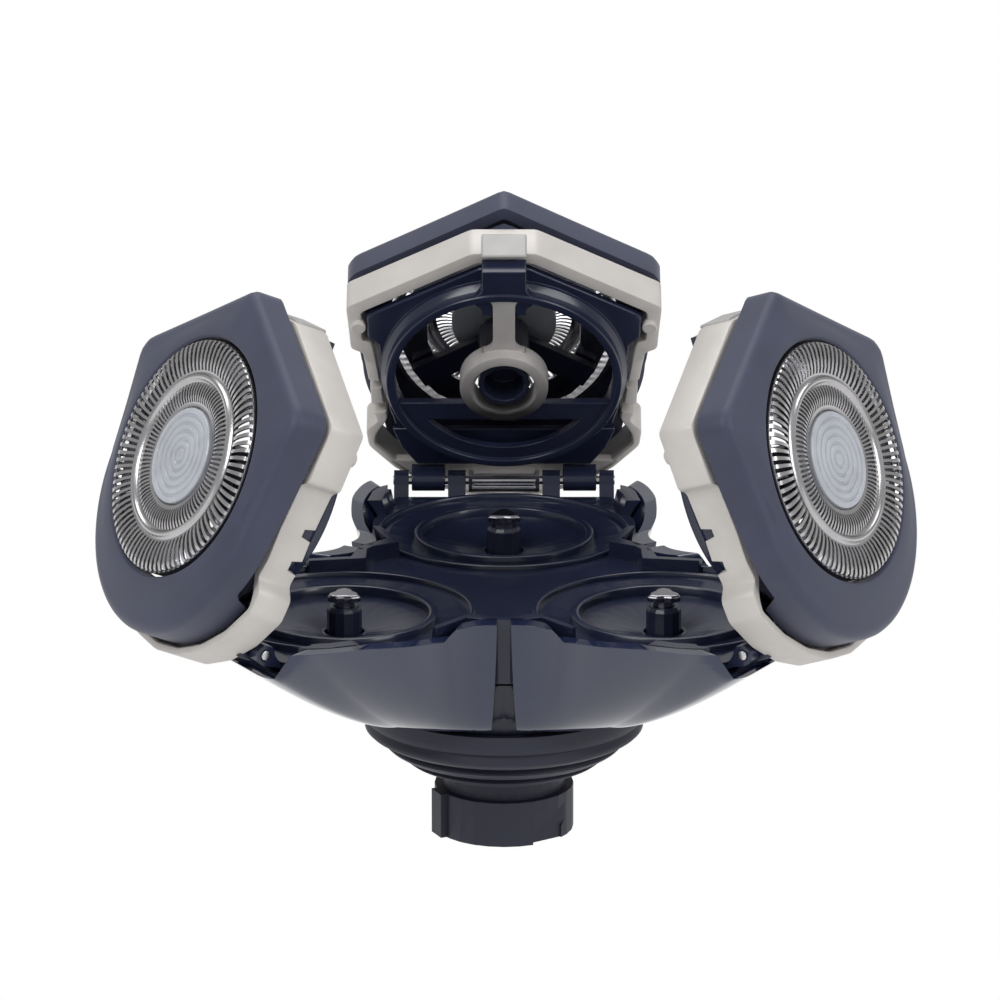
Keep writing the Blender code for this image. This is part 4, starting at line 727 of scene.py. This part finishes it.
def fine_spring(name):
    """Coil spring round a spindle, sized to the box of the spring node that it stands for."""
    low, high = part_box(f"{name}_spindle_spring")
    centre = lobe_matrix(LOBES[name][0]) @ Vector((SPINDLE_RADIUS, 0, 0))
    coil = (high[0] - low[0]) / 2 - SPRING_WIRE
    base, top = low[2] + SPRING_WIRE, high[2] - SPRING_WIRE
    steps = STEPS_A_TURN * SPRING_TURNS
    section = [2 * pi * side / SPRING_SIDES for side in range(SPRING_SIDES)]
    loops = []
    for step in range(steps + 1):
        turn = 2 * pi * step / STEPS_A_TURN
        rise = base + (top - base) * step / steps
        loops.append([(centre.x + (coil + SPRING_WIRE * cos(a)) * cos(turn),
                       centre.y + (coil + SPRING_WIRE * cos(a)) * sin(turn), rise + SPRING_WIRE * sin(a))
                      for a in section])
    bm = bmesh.new()
    loft(bm, loops)
    piece = add_piece(f"{name}_coil_spring", bm, "head", "steel", radians(60),
                      (f"{name}_spindle_spring",))
    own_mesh(piece)


# Dish rings

DISH_RINGS = ((0.0082, 0.0090, 0.0238, 0.0249), (0.0122, 0.0127, 0.0245, 0.0251))


def fine_dish(name):
    """Raised lip round the inner dish, and a low ridge round the outer one."""
    bm = bmesh.new()
    for inner, outer, low, high in DISH_RINGS:
        lathe(bm, ((inner, low), (outer, low), (outer, high - 0.0001), (outer - 0.0001, high),
                   (inner + 0.0001, high), (inner, high - 0.0001)), 120, (SPINDLE_RADIUS, 0.0))
    bm.transform(lobe_matrix(LOBES[name][0]))
    add_piece(f"{name}_dish_lips", bm, "head", "dark_plastic", radians(50))


# Retaining frames

LATCH_ALONG = (0.0301, 0.0305)
LATCH_HALF = 0.00225
LATCH_HEIGHTS = (0.0007, 0.0040)
TAB_HALF = 0.0022
TAB = (0.0090, 0.0149)
TAB_LOW = -0.0007
RETAINER_OUTLINE = (
    (0.01385, 0.0), (0.01385, 0.0023), (0.00725, 0.0138), (0.00415, 0.0137), (0.00395, 0.0127),
    (0.00085, 0.01245), (-0.00265, 0.01195), (-0.00565, 0.0116), (-0.00685, 0.0112), (-0.00825, 0.0110),
)
RING_OUT = 0.0119
RING_IN = 0.0110
RING_STEP = 0.0124
RING_LOW = -0.0009
WEB = (-0.0005, 0.0003)
PLATE = (0.0010, 0.0018)
HUB_OUT = 0.00445
HUB_IN = 0.00315
HUB_LOW = -0.0020
WING_HIGH = -0.0033
WING_LOW = -0.0056
LENS_RADIUS = 0.0095
SPOKE_HALF = 0.0011
FLARE = 0.0011
RETAINER_COLUMNS = 240
RETAINER_EDGE = 0.00012
PLATE_SPREAD = radians(1.0)
WING_STEPS = 48
TAB_STEPS = 12
ROOT_STEPS = 8
WEB_REACH = RING_IN + 0.0003


def plate_radius(angle):
    """Distance of the retaining plate's edge from the cap's centre, round at the hinge's end."""
    end = atan2(RETAINER_OUTLINE[-1][1], RETAINER_OUTLINE[-1][0])
    samples = []
    for share in SPREAD_SHARES:
        side = abs(angle + PLATE_SPREAD * share)
        side = min(side, 2 * pi - side)
        samples.append(polar_radius(RETAINER_OUTLINE, side) if side < end else RING_STEP)
    return max(sum(samples) / len(samples), RING_STEP)


def fine_retainer(name):
    """Glossy clip-in frame: plate, stepped ring, web with a lens slot, and tab at the tip."""
    bm = bmesh.new()
    angles = [2 * pi * step / RETAINER_COLUMNS for step in range(RETAINER_COLUMNS)]
    radii = [plate_radius(a if a <= pi else a - 2 * pi) for a in angles]
    low, high = PLATE
    soft = RETAINER_EDGE

    def loop(inset, height, fixed=None):
        return [((fixed or r - inset) * cos(a), (fixed or r - inset) * sin(a), height)
                for a, r in zip(angles, radii)]

    hole = RING_IN + 0.0004
    loft(bm, [loop(0, low + soft), loop(0, high - soft), loop(soft, high), loop(0, high, hole),
              loop(0, low, hole), loop(soft, low)], ring=True)
    ring = ((RING_IN, RING_LOW + 0.0001), (RING_IN + 0.0001, RING_LOW),
            (RING_IN + 0.0004, RING_LOW - 0.00005), (RING_OUT - 0.0001, RING_LOW),
            (RING_OUT, RING_LOW + 0.0001), (RING_OUT, WEB[1] - 0.0004),
            (RING_OUT + 0.0001, WEB[1] - 0.0002), (RING_STEP, WEB[1] + 0.0003),
            (RING_STEP, high - 0.0002), (RING_IN, high - 0.0002))
    lathe(bm, ring, 160)
    high_edge = asin(-WING_HIGH / WEB_REACH)
    low_edge = asin(-WING_LOW / LENS_RADIUS)
    outer, lens = [], []
    for points, radius, edge in ((outer, WEB_REACH, high_edge), (lens, LENS_RADIUS, low_edge)):
        for step in range(WING_STEPS + 1):
            turn = pi / 2 + edge + (pi - 2 * edge) * step / WING_STEPS
            points.append((radius * cos(turn), radius * sin(turn)))
    loft(bm, [[(x, y, height) for x, y in outline] for outline, height in
              ((outer, WEB[0]), (outer, WEB[1]), (lens, WEB[1]), (lens, WEB[0]))], ring=True)
    flare = [(TAB[0] + (TAB[1] - TAB[0]) * step / TAB_STEPS,
              TAB_HALF + 0.0016 * max(0.0, 1 - abs(step - 4) / 3) ** 2) for step in range(TAB_STEPS + 1)]
    prism(bm, mirrored(flare), TAB_LOW, high - 0.0003)
    bm.transform(face_base(name))
    piece = add_piece(f"{name}_glossy_retainer", bm, f"{name}_holder", "dark_plastic", radians(32),
                      (f"{name}_retaining_frame",))
    soften(piece, RETAINER_EDGE)


def fine_latch(name):
    """Sprung metal latch over the tip of the frame."""
    bm = bmesh.new()
    back, front = LATCH_ALONG
    prism(bm, [(back, -LATCH_HALF), (front, -LATCH_HALF), (front, LATCH_HALF), (back, LATCH_HALF)],
          *LATCH_HEIGHTS)
    bm.transform(holder_matrix(name))
    soften(add_piece(f"{name}_latch_plate", bm, f"{name}_holder", "latch_steel", radians(32),
                     (f"{name}_retainer_latch",)), 0.00018)


def fine_hub(name):
    """Hub and spoke of the retaining frame, with flared roots."""
    bm = bmesh.new()
    top = WEB[1] - 0.0001
    hub = ((HUB_IN, HUB_LOW + 0.0002), (HUB_IN + 0.0002, HUB_LOW), (HUB_OUT - 0.0004, HUB_LOW),
           (HUB_OUT - 0.0001, HUB_LOW + 0.0001), (HUB_OUT, HUB_LOW + 0.0004), (HUB_OUT, top),
           (HUB_IN, top))
    lathe(bm, hub, 96)
    turns = [pi / 2 * step / ROOT_STEPS for step in range(ROOT_STEPS + 1)]
    side = [(HUB_OUT - 0.0004 + FLARE * (1 - cos(turn)), SPOKE_HALF + FLARE * (1 - sin(turn)))
            for turn in turns]
    side += [(WEB_REACH - FLARE + FLARE * sin(turn), SPOKE_HALF + FLARE * (1 - cos(turn)))
             for turn in turns]
    prism(bm, mirrored(side), WEB[0] - 0.0003, WEB[1] - 0.0002)
    bm.transform(face_base(name))
    # The hub's look paints a reflection on its top and shade towards its bottom
    piece = add_piece(f"{name}_hub_and_spoke", bm, f"{name}_holder", "hub_painted_light", radians(32))
    soften(piece, 0.00015)


# The remaining nodes keep their shapes and get a finish and softened edges

NODE_LOOKS = {
    "coupling_stem": "rubber", "drive_shaft": "steel", "gimbal_ring": "steel",
    "base_housing": "dark_plastic", "lower_housing": "black_plastic", "centre_gear": "gear_plastic",
}
LOBE_LOOKS = {
    "case_screw": "steel", "spindle_gear": "gear_plastic", "spindle": "black_plastic",
    "spindle_tip": "tip_steel", "hinge_pin": "steel", "hinge_clip": "steel",
    "cutter_carrier": "black_plastic", "cutter_blades": "blade_steel",
}


def dress_nodes():
    """Give the nodes that stay their materials and a small bevel."""
    looks = dict(NODE_LOOKS)
    for name in LOBES:
        for node_name, look in LOBE_LOOKS.items():
            looks[f"{name}_{node_name}"] = look
    for node_name, look in looks.items():
        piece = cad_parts[node_name]
        piece.data.materials.clear()
        piece.data.materials.append(LOOKS[look])
        weld = piece.modifiers.new("Weld", "WELD")
        weld.merge_threshold = 0.000002
        smooth = piece.modifiers.new("Bevel", "BEVEL")
        smooth.width = 0.00008
        smooth.segments = 2
        smooth.limit_method = "ANGLE"
        smooth.angle_limit = radians(35)


LAMPS = (
    ("key_lamp", (-0.55, -0.60, 0.75), 0.5, 5.0),
    ("fill_lamp", (0.65, -0.50, 0.55), 0.5, 3.5),
    ("top_lamp", (0.0, 0.35, 0.90), 0.6, 4.0),
)
LAMP_AIM = Vector((0, 0, 0.03))
FLOOR_HALF = 2.0
FLOOR_HEIGHT = -0.0002


def build_stage():
    """White floor and surround, soft lamps and the photograph's camera."""
    floor_mesh = bpy.data.meshes.new("floor")
    half = FLOOR_HALF
    floor_mesh.from_pydata([(-half, -half, 0), (half, -half, 0), (half, half, 0), (-half, half, 0)], [],
                           [(0, 1, 2, 3)])
    floor = bpy.data.objects.new("floor", floor_mesh)
    floor.location.z = FLOOR_HEIGHT
    bpy.context.collection.objects.link(floor)
    paper = bpy.data.materials.new("paper")
    paper.use_nodes = True
    tree = paper.node_tree
    shader = tree.nodes["Principled BSDF"]
    shader.inputs["Base Color"].default_value = (0.85, 0.85, 0.85, 1.0)
    shader.inputs["Roughness"].default_value = 0.9
    glow = node(tree, "ShaderNodeEmission", Strength=1.0)
    path = tree.nodes.new("ShaderNodeLightPath")
    seen = node(tree, "ShaderNodeMath")
    seen.operation = "MAXIMUM"
    tree.links.new(path.outputs["Is Camera Ray"], seen.inputs[0])
    tree.links.new(path.outputs["Is Glossy Ray"], seen.inputs[1])
    blend = tree.nodes.new("ShaderNodeMixShader")
    tree.links.new(seen.outputs["Value"], blend.inputs["Fac"])
    tree.links.new(shader.outputs["BSDF"], blend.inputs[1])
    tree.links.new(glow.outputs["Emission"], blend.inputs[2])
    tree.links.new(blend.outputs["Shader"], tree.nodes["Material Output"].inputs["Surface"])
    floor_mesh.materials.append(paper)
    world = bpy.data.worlds.new("studio")
    world.use_nodes = True
    bpy.context.scene.world = world
    tree = world.node_tree
    background = tree.nodes["Background"]
    background.inputs["Color"].default_value = (1.0, 1.0, 1.0, 1.0)
    path = tree.nodes.new("ShaderNodeLightPath")
    level = node(tree, "ShaderNodeMapRange", To_Min=0.45, To_Max=1.0)
    tree.links.new(path.outputs["Is Camera Ray"], level.inputs["Value"])
    tree.links.new(level.outputs["Result"], background.inputs["Strength"])
    for name, place, size, power in LAMPS:
        lamp = bpy.data.lights.new(name, "AREA")
        lamp.size = size
        lamp.energy = power
        holder = bpy.data.objects.new(name, lamp)
        holder.location = place
        holder.rotation_euler = (LAMP_AIM - Vector(place)).to_track_quat("-Z", "Y").to_euler()
        bpy.context.collection.objects.link(holder)
    camera = bpy.data.cameras.new("camera")
    camera.lens = CAMERA_LENS
    camera.sensor_width = CAMERA_SENSOR
    camera.shift_x = CAMERA_SHIFT
    camera.clip_start = 0.01
    eye = bpy.data.objects.new("camera", camera)
    eye.location = CAMERA_PLACE
    eye.rotation_euler = (pi / 2 - CAMERA_PITCH, 0, 0)
    bpy.context.collection.objects.link(eye)
    bpy.context.scene.camera = eye
    bpy.context.scene.view_settings.view_transform = "Standard"


build_stage()
dress_nodes()
fine_bellows()
for lobe in LOBES:
    fine_cap(lobe)
    fine_disc(lobe)
    fine_skin(lobe)
    fine_liner(lobe)
    fine_panel(lobe)
    fine_frame(lobe)
    fine_hinge(lobe)
    fine_spring(lobe)
    fine_dish(lobe)
    fine_latch(lobe)
    fine_retainer(lobe)
    fine_hub(lobe)
